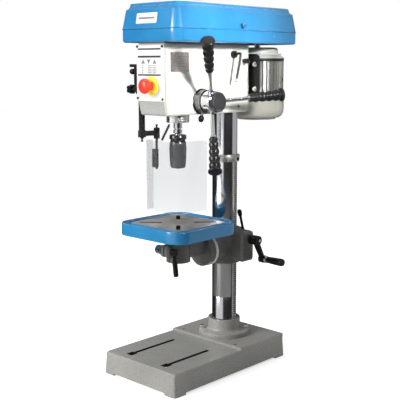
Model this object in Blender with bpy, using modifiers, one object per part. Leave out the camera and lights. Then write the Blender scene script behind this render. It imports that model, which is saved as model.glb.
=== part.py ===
"""Bench drill press, built as separate pieces around one column.

Metres, +Z up. The origin is the column's axis at the plane of the bench. The operator stands at -Y and
the feed handles are at +X.
"""

import math

import bmesh
import bpy
from mathutils import Matrix, Vector

MM = 0.001
GAP = 0.3 * MM  # between pieces that touch
SLIDE = 0.3 * MM  # between a shaft and its bore

# Column and throat
column_radius = 36.5 * MM
column_wall = 5.5 * MM
throat = 195 * MM  # column axis to spindle axis
head_bottom = 737 * MM  # the height of the head's underside above the bench

# Base
base_width = 279 * MM
base_front = throat + 156 * MM  # from the column's axis to the front edge
base_back = 114 * MM
base_front_top = 64 * MM  # the worktop in front
base_rear_top = 70 * MM  # the deck under the column
base_step = 84 * MM  # where the deck begins, in front of the column
base_draft = 3 * MM
base_wall = 9 * MM
foot_length = 40 * MM
foot_height = 6 * MM
slot_spacing = 138 * MM
slot_width = 12 * MM
slot_length = 180 * MM
slot_margin = 26 * MM
slot_entry = 24 * MM
bench_hole_spacing = 210 * MM
bench_hole_radius = 5.5 * MM
bench_hole_y = -64 * MM
boss_radius = column_radius + 13.5 * MM

# Column flange
pad_radius = column_radius + 41.5 * MM
pad_height = 2 * MM
flange_radius = column_radius + 39.5 * MM
flange_thickness = 11 * MM
flange_floor = 4 * MM
neck_wall = 3.5 * MM
neck_height = 36 * MM
neck_recess = 7 * MM
bolt_circle = column_radius + 29.5 * MM
bolt_hole_radius = 5.3 * MM

# Rack on the column, module 2
rack_module = 2 * MM
rack_width = 12 * MM
rack_back = 3 * MM
rack_plain = 15 * MM  # plain length at the foot
collar_bottom = head_bottom - 145 * MM
collar_height = 20 * MM
collar_radius = column_radius + 7.5 * MM

# Table bracket
bracket_bottom = 292 * MM
bracket_height = 102 * MM
bracket_radius = column_radius + 13.5 * MM
pinion_teeth = 13
wheel_radius = 17 * MM
worm_radius = 9 * MM
worm_gap = 0.4 * MM
crank_y = 12 * MM
crank_z = bracket_bottom + 76 * MM
housing_right = column_radius + 53.5 * MM
housing_front = -20 * MM
housing_back = 31 * MM
crank_throw = 66 * MM
crank_grip_length = 66 * MM
clamp_y = column_radius + 23.5 * MM
clamp_z = bracket_bottom + 70 * MM

# Table arm and table
arm_z = bracket_bottom + 46 * MM
arm_radius = 45 * MM
tilt_face = column_radius + 37.5 * MM  # in front of the column's axis
arm_flange = 31 * MM
arm_width = 44 * MM
arm_boss_radius = 34 * MM
arm_boss_top = arm_z + 50 * MM
arm_boss_bottom = arm_z - 15 * MM
stub_radius = 19 * MM
table_size = 252 * MM
table_corner = 48 * MM
table_top = arm_boss_top + 49 * MM
table_rim = 34 * MM
table_plate = 12 * MM
table_slot = 12 * MM

# Head
head_top = head_bottom + 192 * MM
head_width = 104 * MM
head_front = throat + 100 * MM
head_back = column_radius + 7.5 * MM
socket_depth = 130 * MM
chin_height = 38 * MM
chin_setback = 9 * MM
panel_thickness = 3 * MM

# Quill, spindle and feed, module 1.75
quill_radius = 30 * MM
quill_bottom = head_bottom - 22 * MM
quill_top = head_bottom + 163 * MM
quill_bore = quill_radius - 10 * MM
quill_seat = quill_radius - 5 * MM
bearing_width = 15 * MM
feed_module = 1.75 * MM
feed_teeth = 14
feed_pitch_offset = quill_radius - 3 * MM  # the quill rack's pitch line from the quill's axis
feed_z = head_bottom + 35 * MM
quill_travel = 80 * MM
spindle_radius = 11 * MM
spindle_top = head_top + 74 * MM
chuck_top = head_bottom - 56 * MM
chuck_length = 92 * MM
spoke_count = 3
spoke_tilt = math.radians(35)  # of the first spoke, forward of upright
spoke_reach = 197 * MM  # from the feed axis to a grip's end
spoke_splay = 90 * MM  # how far a grip's end stands out from its root
spoke_radius = 5.5 * MM
spoke_root_x = 90 * MM
grip_length = 104 * MM
grip_flare = 19 * MM  # the radius of a grip's free end

# Belt cover and drive
cover_width = 224 * MM
cover_front = throat + 112 * MM
cover_corner = 25 * MM
cover_bottom = head_top + 1 * MM
cover_seam = cover_bottom + 34 * MM
cover_shoulder = cover_seam + 54 * MM
cover_top = cover_shoulder + 15 * MM
cover_wall = 2 * MM
cover_lip = 1.5 * MM
step_radii = (51 * MM, 59 * MM, 67 * MM, 75 * MM)  # of the spindle's pulley, from the bottom
step_sum = 101 * MM  # of two facing steps
step_rim = 2 * MM
step_pitch = 16 * MM
step_bottom = cover_bottom + 15 * MM
belt_step = 1
belt_height = 6.5 * MM
belt_width = 10 * MM
belt_gap = 0.6 * MM

# Motor
motor_radius = 80 * MM
motor_core = motor_radius - 7 * MM
motor_fins = 18
motor_fin_bottom = head_bottom + 48 * MM
motor_fin_top = head_bottom + 156 * MM
motor_top = head_bottom + 185 * MM
motor_bottom = head_bottom - 28 * MM
motor_shaft_radius = 9 * MM
motor_travel = 9 * MM
plate_width = 156 * MM
plate_front = head_back + 11 * MM
plate_thickness = 8 * MM
plate_bottom = head_bottom + 49 * MM
plate_top = head_bottom + 165 * MM
motor_y = plate_front + plate_thickness + 1 * MM + motor_radius
cover_back = motor_y + 57 * MM
bar_radius = 8 * MM
bar_spacing = 64 * MM
bar_z = head_bottom + 145 * MM
lever_y = -26 * MM
lever_z = head_bottom + 163 * MM

# Chuck guard
post_x = -62 * MM
post_y = -throat - 77 * MM
post_side = 13 * MM
post_bottom = head_bottom - 43 * MM
post_top = head_bottom + 143 * MM
guard_turn = Vector((-54 * MM, -throat - 29 * MM, 0))
shield_left = -66 * MM
shield_right = 73 * MM
shield_front = -throat - 70 * MM
shield_back = -throat + 40 * MM
shield_bottom = head_bottom - 264 * MM
shield_top = head_bottom - 70 * MM
shield_sheet = 3 * MM
shield_bend = 22 * MM

# Worked out from the sizes above
flange_bottom = base_rear_top + pad_height + GAP
flange_top = flange_bottom + flange_thickness
neck_top = flange_top + neck_height
column_bottom = flange_bottom + flange_floor + GAP
column_top = head_bottom + socket_depth
column_bore = column_radius + SLIDE
rack_inner = column_radius + GAP
rack_pitch_x = rack_inner + rack_back + 1.1 * rack_module
rack_tip_x = rack_pitch_x + 0.8 * rack_module
pinion_radius = pinion_teeth * rack_module / 2
pinion_x = rack_pitch_x + pinion_radius
pinion_z = crank_z - wheel_radius - worm_radius - worm_gap
neck_inner = math.hypot(rack_tip_x, rack_width / 2) + 0.6 * MM
neck_radius = neck_inner + neck_wall
bracket_top = bracket_bottom + bracket_height
feed_radius = feed_teeth * feed_module / 2
feed_y = -throat + feed_pitch_offset + feed_radius
spindle_axis = Vector((0, -throat, 0))
motor_axis = Vector((0, motor_y, 0))
side = head_width / 2
motor_radii = [step_sum - radius for radius in step_radii]

MATERIALS = {
    "grey_casting": ((0.33, 0.33, 0.31), 0.55, 0.3),
    "head_enamel": ((0.42, 0.43, 0.37), 0.5, 0.2),
    "blue_enamel": ((0.03, 0.2, 0.62), 0.3, 0.0),
    "chrome": ((0.75, 0.75, 0.77), 0.12, 1.0),
    "steel": ((0.45, 0.45, 0.45), 0.35, 1.0),
    "black_plastic": ((0.015, 0.015, 0.015), 0.45, 0.0),
    "black_steel": ((0.03, 0.03, 0.03), 0.4, 0.8),
    "light_panel": ((0.7, 0.7, 0.68), 0.4, 0.0),
    "red_plastic": ((0.7, 0.03, 0.02), 0.3, 0.0),
    "yellow_plastic": ((0.8, 0.65, 0.03), 0.4, 0.0),
    "aluminium": ((0.6, 0.6, 0.6), 0.35, 1.0),
    "rubber": ((0.02, 0.02, 0.02), 0.7, 0.0),
    "clear_sheet": ((0.85, 0.88, 0.9), 0.1, 0.0),
}


# ---------------------------------------------------------------- tools

def clear_scene():
    for existing in list(bpy.data.objects):
        bpy.data.objects.remove(existing, do_unlink=True)


def collection(name):
    made = bpy.data.collections.new(name)
    bpy.context.scene.collection.children.link(made)
    return made


def material(name):
    found = bpy.data.materials.get(name)
    if found:
        return found
    colour, roughness, metallic = MATERIALS[name]
    made = bpy.data.materials.new(name)
    made.use_nodes = True
    shader = made.node_tree.nodes["Principled BSDF"]
    shader.inputs["Base Color"].default_value = (*colour, 1)
    shader.inputs["Roughness"].default_value = roughness
    shader.inputs["Metallic"].default_value = metallic
    return made


def place(name, mesh, at, finish, turn=None):
    """An object of this mesh, with its origin at a point and its own +Z along turn."""
    made = bpy.data.objects.new(name, mesh)
    made.location = at
    if turn is not None:
        made.rotation_mode = "QUATERNION"
        made.rotation_quaternion = Vector((0, 0, 1)).rotation_difference(Vector(turn))
    if finish is None:
        made.hide_render = True
        made.display_type = "WIRE"
        guides.objects.link(made)
    else:
        mesh.materials.append(material(finish))
        parts.objects.link(made)
    return made


def rounded(piece, width, segments=2, angle=math.radians(40)):
    edge = piece.modifiers.new("edges", "BEVEL")
    edge.width = width
    edge.segments = segments
    edge.limit_method = "ANGLE"
    edge.angle_limit = angle
    return piece


def block(name, low, high, finish, bevel=0, segments=1):
    """A box between two corners, with its origin at its centre."""
    low, high = Vector(low), Vector(high)
    mesh = bpy.data.meshes.new(name)
    shape = bmesh.new()
    bmesh.ops.create_cube(shape, size=1)
    bmesh.ops.scale(shape, vec=high - low, verts=shape.verts)
    shape.to_mesh(mesh)
    shape.free()
    made = place(name, mesh, (low + high) / 2, finish)
    if bevel:
        rounded(made, bevel, segments)
    return made


def rod(name, radius, start, end, finish, sides=16):
    """A cylinder or cone between two points, with its origin at the first."""
    start, end = Vector(start), Vector(end)
    length = (end - start).length
    mesh = bpy.data.meshes.new(name)
    shape = bmesh.new()
    bmesh.ops.create_cone(shape, cap_ends=True, segments=sides, radius1=radius,
                          radius2=radius, depth=length)
    bmesh.ops.translate(shape, vec=(0, 0, length / 2), verts=shape.verts)
    shape.to_mesh(mesh)
    shape.free()
    mesh.shade_smooth()
    mesh.set_sharp_from_angle(angle=math.radians(35))
    return place(name, mesh, start, finish, end - start)


def turned(name, profile, at, finish, axis=(0, 0, 1), sides=24):
    """A lathe shape: profile is (radius, height) down the outer side; a ring's returns up its bore."""
    mesh = bpy.data.meshes.new(name)
    ring = all(radius > 0 for radius, _ in profile)
    count = len(profile)
    edges = [(k, k + 1) for k in range(count - 1)]
    if ring:
        edges.append((count - 1, 0))
    mesh.from_pydata([(radius, 0, height) for radius, height in profile], edges, [])
    made = place(name, mesh, at, finish, axis)
    screw = made.modifiers.new("turn", "SCREW")
    screw.steps = sides
    screw.render_steps = sides
    screw.use_merge_vertices = True
    screw.merge_threshold = 0.00001
    weld = made.modifiers.new("weld", "WELD")
    weld.merge_threshold = 0.00001
    return made


def lofted(name, rings, finish, closed=False, at=(0, 0, 0)):
    """A skin through rings of the same number of points, capped at both ends or closed on itself."""
    mesh = bpy.data.meshes.new(name)
    shape = bmesh.new()
    loops = [[shape.verts.new(Vector(point) - Vector(at)) for point in ring] for ring in rings]
    pairs = list(zip(loops, loops[1:]))
    if closed:
        pairs.append((loops[-1], loops[0]))
    for lower, upper in pairs:
        for k in range(len(lower)):
            after = (k + 1) % len(lower)
            shape.faces.new((lower[k], lower[after], upper[after], upper[k]))
    if not closed:
        shape.faces.new(list(reversed(loops[0])))
        shape.faces.new(loops[-1])
    bmesh.ops.recalc_face_normals(shape, faces=shape.faces)
    shape.to_mesh(mesh)
    shape.free()
    return place(name, mesh, at, finish)


def prism(name, outline, start, end, finish, axis="z", bevel=0):
    """A flat outline pushed from one height to another: (x, y) along z, (y, z) along x, (x, z) along y."""
    spread = {
        "z": lambda p, h: (p[0], p[1], h),
        "x": lambda p, h: (h, p[0], p[1]),
        "y": lambda p, h: (p[0], h, p[1]),
    }[axis]
    made = lofted(name, [[spread(p, h) for p in outline] for h in (start, end)], finish)
    if bevel:
        rounded(made, bevel, 1)
    return made


def bent_rod(name, points, radius, finish):
    """A round bar along a smooth curve through points, as a closed mesh."""
    curve = bpy.data.curves.new(name, "CURVE")
    curve.dimensions = "3D"
    curve.bevel_depth = radius
    curve.bevel_resolution = 2
    curve.use_fill_caps = True
    line = curve.splines.new("POLY")
    line.points.add(len(points) - 1)
    for knot, point in zip(line.points, points):
        knot.co = (*point, 1)
    guide = bpy.data.objects.new(name + "_line", curve)
    guides.objects.link(guide)
    bpy.context.view_layer.update()
    mesh = bpy.data.meshes.new_from_object(guide.evaluated_get(bpy.context.evaluated_depsgraph_get()))
    bpy.data.objects.remove(guide, do_unlink=True)
    shape = bmesh.new()
    shape.from_mesh(mesh)
    bmesh.ops.remove_doubles(shape, verts=shape.verts, dist=0.00001)
    bmesh.ops.recalc_face_normals(shape, faces=shape.faces)
    shape.to_mesh(mesh)
    shape.free()
    mesh.materials.clear()
    return place(name, mesh, (0, 0, 0), finish)


def smooth_path(knots, per_span=3):
    """Points on a Catmull-Rom curve through the knots."""
    knots = [Vector(knot) for knot in knots]
    ends = [2 * knots[0] - knots[1], *knots, 2 * knots[-1] - knots[-2]]
    path = []
    for k in range(1, len(ends) - 2):
        a, b, c, d = ends[k - 1:k + 3]
        for step in range(per_span):
            t = step / per_span
            path.append(0.5 * (2 * b + (c - a) * t + (2 * a - 5 * b + 4 * c - d) * t**2
                               + (3 * b - a - 3 * c + d) * t**3))
    path.append(knots[-1])
    return path


def combine(piece, tool, operation):
    change = piece.modifiers.new(tool.name, "BOOLEAN")
    change.operation = operation
    change.solver = "EXACT"
    change.object = tool


def cut(piece, *tools):
    for tool in tools:
        combine(piece, tool, "DIFFERENCE")
    return piece


def join(piece, *tools):
    for tool in tools:
        combine(piece, tool, "UNION")
    return piece


def pivot(name, at, under=None):
    """An empty on a joint's axis; what moves hangs under it."""
    made = bpy.data.objects.new(name, None)
    made.location = at
    made.empty_display_size = 20 * MM
    parts.objects.link(made)
    if under:
        hang(under, made)
    return made


def hang(carrier, *pieces):
    for piece in pieces:
        piece.parent = carrier
        piece.matrix_parent_inverse = Matrix.Translation(-Vector(carrier.location))


# ---------------------------------------------------------------- outlines


def rounded_rectangle(low, high, radius, steps=4):
    """Corners as arcs, going anticlockwise from the right-hand side."""
    centres = ((high[0] - radius, high[1] - radius), (low[0] + radius, high[1] - radius),
               (low[0] + radius, low[1] + radius), (high[0] - radius, low[1] + radius))
    points = []
    for quarter, (x, y) in enumerate(centres):
        for step in range(steps + 1):
            angle = (quarter + step / steps) * math.pi / 2
            points.append((x + radius * math.cos(angle), y + radius * math.sin(angle)))
    return points


def level(outline, height):
    return [(x, y, height) for x, y in outline]


def gear(teeth, module, radius, centre, towards):
    """A spur gear's outline, with a gap between teeth facing the angle towards."""
    pitch_half = 0.40 * math.pi / teeth
    tip, root = radius + 0.8 * module, radius - 1.1 * module
    points = []
    for k in range(teeth):
        middle = towards + (k + 0.5) * 2 * math.pi / teeth
        for r, hand in ((root, -1), (tip, -1), (tip, 1), (root, 1)):
            half = pitch_half - (r - radius) * math.tan(math.radians(22)) / radius
            angle = middle + hand * half
            points.append((centre[0] + r * math.cos(angle), centre[1] + r * math.sin(angle)))
    return points


def rack_line(module, pitch_line, centre, low, high, out):
    """Tooth points up a straight rack, with a tooth at centre; out is the side the teeth face."""
    pitch = math.pi * module
    slope = math.tan(math.radians(20))
    tip, root = 0.8 * module, 1.1 * module
    half = 0.40 * pitch / 2
    first = math.ceil((low - centre) / pitch + 0.5)
    last = math.floor((high - centre) / pitch - 0.5)
    points = []
    for k in range(first, last + 1):
        middle = centre + k * pitch
        for depth, hand in ((-root, -1), (tip, -1), (tip, 1), (-root, 1)):
            offset = hand * (half - depth * slope)
            points.append((pitch_line + out * depth, middle + offset))
    return points


# ---------------------------------------------------------------- base and column

def make_base():
    half = base_width / 2
    foot = half + base_draft

    def ring(inset, height, front, back, spread):
        return level(rounded_rectangle((-spread + inset, -front + inset), (spread - inset, back - inset),
                                       max(6 * MM, 8 * MM - inset / 2), 2), height)

    draft = base_draft
    rings = [
        ring(base_wall, base_front_top - 10 * MM, base_front, base_back, half),
        ring(base_wall, 0, base_front + draft, base_back + draft, foot),
        ring(0, 0, base_front + draft, base_back + draft, foot),
        ring(0, base_front_top - 3 * MM, base_front, base_back, half),
        ring(3 * MM, base_front_top, base_front, base_back, half),
    ]
    base = lofted("base_casting", rings, "grey_casting")
    deck = block("deck", (-half, -base_step, base_front_top - 8 * MM), (half, base_back, base_rear_top),
                 None,
                 3 * MM)
    pad = rod("pad", pad_radius, (0, 0, base_rear_top - 4 * MM), (0, 0, base_rear_top + pad_height), None,
              28)
    boss = rod("boss", boss_radius, (0, 0, 0), (0, 0, base_rear_top - 2 * MM), None, 24)
    join(base, deck, pad, boss)
    low, high = -1 * MM, foot_height
    reach = 20 * MM
    x_span = foot - foot_length
    y_low, y_high = -base_front + foot_length, base_back - foot_length
    for index, (x0, x1, y0, y1) in enumerate((
            (-x_span, x_span, -base_front - reach, -base_front + base_wall + 2 * MM),
            (-x_span, x_span, base_back - base_wall - 2 * MM, base_back + reach),
            (-foot - reach, -half + base_wall + 2 * MM, y_low, y_high),
            (half - base_wall - 2 * MM, foot + reach, y_low, y_high))):
        cut(base, block(f"foot_gap_{index}", (x0, y0, low), (x1, y1, high), None))
    through = base_front_top - 30 * MM
    over = base_rear_top + 20 * MM
    start = -base_front + slot_margin
    for hand in (-1, 1):
        x = hand * slot_spacing / 2
        w = slot_width / 2
        cut(base, block(f"slot_{hand}", (x - w, start, through), (x + w, start + slot_length, over), None),
            block(f"slot_entry_{hand}", (x - 1.8 * w, start, through),
                  (x + 1.8 * w, start + slot_entry, over),
                  None))
        hole = (hand * bench_hole_spacing / 2, bench_hole_y)
        cut(base, rod(f"bench_hole_{hand}", bench_hole_radius, (*hole, through), (*hole, over), None, 16))
    return base


def make_flange():
    return_edge = 1.5 * MM
    profile = [
        (neck_radius - 1 * MM, neck_top), (neck_radius, neck_top - 1 * MM),
        (neck_radius, flange_top + 4 * MM),
        (neck_radius + 4 * MM, flange_top), (flange_radius - return_edge, flange_top),
        (flange_radius, flange_top - return_edge), (flange_radius, flange_bottom), (20 * MM, flange_bottom),
        (20 * MM, flange_bottom + flange_floor), (column_bore, flange_bottom + flange_floor),
        (column_bore, neck_top - neck_recess), (neck_inner, neck_top - neck_recess), (neck_inner, neck_top),
    ]
    flange = turned("column_flange", profile, (0, 0, 0), "grey_casting", sides=28)
    for k in range(3):
        angle = math.pi / 4 + k * math.pi / 2
        x, y = bolt_circle * math.cos(angle), bolt_circle * math.sin(angle)
        cut(flange, rod(f"bolt_hole_{k}", bolt_hole_radius, (x, y, flange_bottom - 5 * MM),
                        (x, y, flange_top + 5 * MM), None, 16))
    return flange


def make_column():
    inner = column_radius - column_wall
    profile = [(column_radius, column_top), (column_radius, column_bottom), (inner, column_bottom),
               (inner, column_top)]
    column = turned("column", profile, (0, 0, 0), "chrome", sides=28)
    outer = collar_radius
    ring = [(outer - 1 * MM, collar_height), (outer, collar_height - 1 * MM), (outer - 1.5 * MM, 0),
            (column_bore, 0), (column_bore, collar_height)]
    collar = turned("rack_collar", ring, (0, 0, collar_bottom), "aluminium", sides=28)
    return column, collar


def make_column_rack():
    low = neck_top - neck_recess + GAP
    high = collar_bottom - GAP
    start = low + rack_plain
    teeth = rack_line(rack_module, rack_pitch_x, pinion_z, start, high - 1 * MM, 1)
    root = rack_pitch_x - 1.1 * rack_module
    outline = [(rack_inner, low), (rack_tip_x - 1 * MM, low), (rack_tip_x - 1 * MM, start - 2 * MM),
               (root, start - 1 * MM), *teeth, (root, high), (rack_inner, high)]
    half = rack_width / 2
    return prism("column_rack", outline, -half, half, "steel", "y")


# ---------------------------------------------------------------- table bracket

def make_bracket():
    low, high = bracket_bottom, bracket_top
    bracket = turned("table_bracket", [
        (bracket_radius - 3 * MM, high), (bracket_radius, high - 3 * MM), (bracket_radius, low + 3 * MM),
        (bracket_radius - 3 * MM, low), (column_radius - 6.5 * MM, low), (column_radius - 6.5 * MM, high)],
        (0, 0, 0),
        "grey_casting", sides=28)
    boss = rod("tilt_boss", arm_radius - 1 * MM, (0, -tilt_face, arm_z), (0, -10 * MM, arm_z), None, 28)
    housing = block("gear_housing", (20 * MM, housing_front, low + 10 * MM),
                    (housing_right, housing_back, high - 2 * MM), None, 9 * MM, 2)
    lug_high, lug_low = high - 8 * MM, low + 8 * MM
    lugs = block("clamp_lugs", (-19 * MM, 30 * MM, lug_low), (19 * MM, clamp_y + 14 * MM, lug_high), None,
                 4 * MM)
    join(bracket, boss, housing, lugs)
    cut(bracket, rod("bracket_bore", column_bore, (0, 0, low - 5 * MM), (0, 0, high + 5 * MM), None, 28))
    slot = rack_width / 2 + 0.6 * MM
    cut(bracket,
        block("rack_channel", (20 * MM, -slot, low - 5 * MM), (rack_tip_x + 0.7 * MM, slot, high + 5 * MM),
              None),
        block("clamp_split", (-2.5 * MM, 25 * MM, low - 5 * MM),
              (2.5 * MM, clamp_y + 20 * MM, high + 5 * MM), None),
        rod("clamp_hole", 6 * MM, (-30 * MM, clamp_y, clamp_z), (30 * MM, clamp_y, clamp_z), None, 16))
    pinion_half = 8 * MM
    wheel_low = pinion_half + 1 * MM
    cut(bracket,
        rod("pinion_room", pinion_radius + 0.8 * rack_module + 0.8 * MM,
            (pinion_x, -pinion_half - 1 * MM, pinion_z),
            (pinion_x, wheel_low, pinion_z), None, 24),
        rod("wheel_room", wheel_radius + 1 * MM, (pinion_x, wheel_low - 0.5 * MM, pinion_z),
            (pinion_x, crank_y + 9 * MM, pinion_z), None, 24),
        rod("pinion_bore", 6 * MM + SLIDE, (pinion_x, housing_front - 5 * MM, pinion_z),
            (pinion_x, housing_back + 5 * MM, pinion_z), None, 16),
        rod("worm_room", worm_radius + 1 * MM, (pinion_x - 12 * MM, crank_y, crank_z),
            (pinion_x + 25 * MM, crank_y, crank_z), None,
            16),
        rod("crank_bore", 7 * MM + SLIDE, (pinion_x + 15 * MM, crank_y, crank_z),
            (housing_right + 5 * MM, crank_y, crank_z), None, 16),
        rod("spigot_bore", 12 * MM + SLIDE, (0, -tilt_face - 5 * MM, arm_z),
            (0, -tilt_face + 24 * MM, arm_z),
            None, 16))
    return bracket


def make_table_pinion():
    """The gear that climbs the rack, its worm wheel and their shaft, turning about Y."""
    centre = (pinion_x, pinion_z)
    half = 8 * MM
    piece = rod("table_pinion", 6 * MM, (pinion_x, housing_front + 0.5 * MM, pinion_z),
                (pinion_x, housing_back - 0.5 * MM, pinion_z), "steel")
    spur = prism("spur", gear(pinion_teeth, rack_module, pinion_radius, centre, math.pi), -half, half, None,
                 "y")
    wheel_module = 2 * wheel_radius / 18
    wheel = prism("wheel", gear(16, wheel_module, 16 * wheel_module / 2, centre, math.pi / 2),
                  half - 0.5 * MM + 1.6 * MM, crank_y + 8 * MM, None, "y")
    web = rod("web", pinion_radius - 3 * MM, (pinion_x, half - 1 * MM, pinion_z),
              (pinion_x, half + 3 * MM, pinion_z), None)
    return join(piece, spur, wheel, web)


def make_crank():
    """The worm and its shaft, the cranked arm and the turning grip, along X."""
    y, z = crank_y, crank_z
    worm_start = pinion_x - 9 * MM
    steps = [(0, worm_start)]
    count = 4
    pitch = 8 * MM
    for k in range(count):
        start = worm_start + k * pitch
        steps += [(worm_radius - 2.5 * MM, start), (worm_radius, start + 1.5 * MM),
                  (worm_radius, start + 3.5 * MM), (worm_radius - 2.5 * MM, start + 5 * MM)]
    steps += [(7 * MM, worm_start + 33 * MM), (7 * MM, housing_right + 26 * MM),
              (0, housing_right + 26 * MM)]
    shaft = turned("crank_shaft", [(r, h) for r, h in reversed(steps)], (0, y, z), "steel", (1, 0, 0), 16)
    hub_start, hub_end = housing_right + 2 * MM, housing_right + 34 * MM
    arm = rod("crank_arm", 14 * MM, (hub_start, y, z), (hub_end, y, z), "black_plastic", 20)
    knee = Vector((housing_right + 26 * MM, y + 0.42 * crank_throw, z - 0.9 * crank_throw))
    route = smooth_path([(hub_end - 12 * MM, y + 2 * MM, z - 6 * MM),
                         (hub_end - 9 * MM, y + 0.17 * crank_throw, z - 0.45 * crank_throw), knee])
    web = bent_rod("crank_web", route, 9 * MM, None)
    eye = rod("crank_eye", 11 * MM, knee - Vector((10 * MM, 0, 0)), knee + Vector((10 * MM, 0, 0)), None)
    join(arm, web, eye)
    cut(arm, rod("crank_socket", 7 * MM + SLIDE, (hub_start - 5 * MM, y, z),
                 (housing_right + 26 * MM + GAP, y, z), None))
    cut(arm, rod("grip_socket", 4.5 * MM, knee - Vector((20 * MM, 0, 0)), knee + Vector((20 * MM, 0, 0)),
                 None))
    length = crank_grip_length
    start = knee + Vector((10 * MM + GAP, 0, 0))
    grip = turned("crank_grip", [
        (0, length), (8 * MM, length), (10 * MM, length - 2 * MM), (11 * MM, length - 8 * MM),
        (9.5 * MM, 12 * MM), (9 * MM, 6 * MM), (9 * MM, 0), (4.2 * MM, 0), (4.2 * MM, -12 * MM),
        (0, -12 * MM)], start, "black_plastic", (1, 0, 0), 16)
    return shaft, arm, grip, knee


def make_column_clamp():
    """The bolt through the bracket's lugs and its lever, turning about X."""
    y, z = clamp_y, clamp_z
    bolt = rod("column_clamp_lever", 5.7 * MM, (-29 * MM, y, z), (30 * MM, y, z), "black_steel", 16)
    head = rod("clamp_head", 9 * MM, (-30 * MM, y, z), (-19 * MM - GAP, y, z), None, 6)
    hub = rod("clamp_hub", 9 * MM, (19 * MM + GAP, y, z), (34 * MM, y, z), None, 16)
    tip = Vector((21 * MM, y - 16 * MM, z + 75 * MM))
    handle = rod("clamp_handle", 4 * MM, (27 * MM, y, z), tip, None, 16)
    knob = turned("clamp_knob", [(0, 8 * MM), (4 * MM, 7 * MM), (7 * MM, 3 * MM), (7 * MM, -8 * MM),
                                 (5 * MM, -14 * MM), (0, -14 * MM)], tip, None,
                                 tip - Vector((27 * MM, y, z)), 14)
    return join(bolt, head, hub, handle, knob)


# ---------------------------------------------------------------- table

def make_arm():
    front = -tilt_face - GAP
    arm = turned("table_arm", [
        (0, 0), (arm_radius - 1.5 * MM, 0), (arm_radius, -1.5 * MM), (arm_radius, -arm_flange + 2 * MM),
        (arm_radius - 2 * MM, -arm_flange), (0, -arm_flange)], (0, front, arm_z), "grey_casting",
        (0, 1, 0), 28)
    low, high = arm_boss_bottom, arm_boss_top
    beam = block("arm_beam", (-arm_width / 2, -throat + 10 * MM, low + 8 * MM),
                 (arm_width / 2, front - arm_flange + 8 * MM, high - 6 * MM), None, 6 * MM)
    boss = rod("arm_boss", arm_boss_radius, (0, -throat, low), (0, -throat, high), None, 24)
    lugs = block("arm_lugs", (-17 * MM, -throat - 57 * MM, low + 20 * MM),
                 (17 * MM, -throat - 20 * MM, high - 12 * MM),
                 None, 5 * MM)
    spigot = rod("arm_spigot", 12 * MM, (0, front - 5 * MM, arm_z), (0, front + 22 * MM, arm_z), None, 16)
    join(arm, beam, boss, lugs, spigot)
    bolt_y, bolt_z = table_clamp_place()
    cut(arm, rod("stub_bore", stub_radius + SLIDE, (0, -throat, low - 5 * MM), (0, -throat, high + 5 * MM),
                 None, 24),
        block("arm_split", (-2 * MM, -throat - 70 * MM, low - 5 * MM),
              (2 * MM, -throat, high + 5 * MM), None),
        rod("arm_clamp_hole", 5.3 * MM, (-30 * MM, bolt_y, bolt_z), (30 * MM, bolt_y, bolt_z), None, 16),
        rod("pin_hole", 3 * MM, (0, front - arm_flange - 5 * MM, arm_z - arm_radius + 10 * MM),
            (0, front - arm_flange + 12 * MM, arm_z - arm_radius + 10 * MM), None, 12))
    return arm


def table_clamp_place():
    return -throat - 43 * MM, (arm_boss_bottom + arm_boss_top) / 2 + 4 * MM


def make_table_clamp():
    """The bolt that closes the arm's split boss, its nut and its hanging lever, turning about X."""
    y, z = table_clamp_place()
    bolt = rod("table_clamp_lever", 5 * MM, (-40 * MM, y, z), (30 * MM, y, z), "black_steel", 16)
    nut = rod("clamp_nut", 12.5 * MM, (-38 * MM, y, z), (-17 * MM - GAP, y, z), None, 16)
    hub = rod("lever_hub", 9 * MM, (17 * MM + GAP, y, z), (33 * MM, y, z), None, 16)
    end = (25 * MM, y + 9 * MM, z - 70 * MM)
    handle = rod("lever_handle", 5 * MM, (25 * MM, y, z), end, None, 16)
    sleeve = rod("lever_sleeve", 7 * MM, (25 * MM, y + 3.5 * MM, z - 27 * MM), end, None, 16)
    return join(bolt, nut, hub, handle, sleeve)


def make_table():
    top, low = table_top, table_top - table_rim
    half = table_size / 2

    def ring(inset, height, radius=None):
        span = half - inset
        corner = table_corner - inset if radius is None else radius
        centre = -throat
        return level(rounded_rectangle((-span, centre - span), (span, centre + span), corner, 4), height)

    plate_low = top - 8 * MM - table_plate
    rings = [
        ring(8 * MM, plate_low), ring(7 * MM, low), ring(1.5 * MM, low), ring(0, low + 1.5 * MM),
        ring(0, top - 2 * MM), ring(2 * MM, top), ring(6 * MM, top), ring(9 * MM, top - 7 * MM),
        ring(26 * MM, top - 8 * MM, 18 * MM), ring(29 * MM, top - 2 * MM, 16 * MM)]
    table = lofted("drill_table", rings, "blue_enamel")
    stem = turned("table_stem", [
        (0, plate_low + 4 * MM), (arm_boss_radius, plate_low + 4 * MM),
        (arm_boss_radius - 2 * MM, arm_boss_top + GAP),
        (stub_radius, arm_boss_top + GAP), (stub_radius, arm_boss_bottom + 6 * MM),
        (stub_radius - 2 * MM, arm_boss_bottom + 4 * MM), (0, arm_boss_bottom + 4 * MM)],
        (0, -throat, 0), None, sides=24)
    join(table, stem)
    inner, outer = 46 * MM, 108 * MM
    for k in range(4):
        angle = math.pi / 4 + k * math.pi / 2
        along = Vector((math.cos(angle), math.sin(angle), 0))
        across = Vector((-along.y, along.x, 0)) * table_slot / 2
        corners = [spindle_axis + along * inner - across, spindle_axis + along * outer - across,
                   spindle_axis + along * outer + across, spindle_axis + along * inner + across]
        cut(table, prism(f"table_slot_{k}", [(c.x, c.y) for c in corners], plate_low - 10 * MM,
                         top + 5 * MM, None))
    return table


# ---------------------------------------------------------------- head

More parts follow.
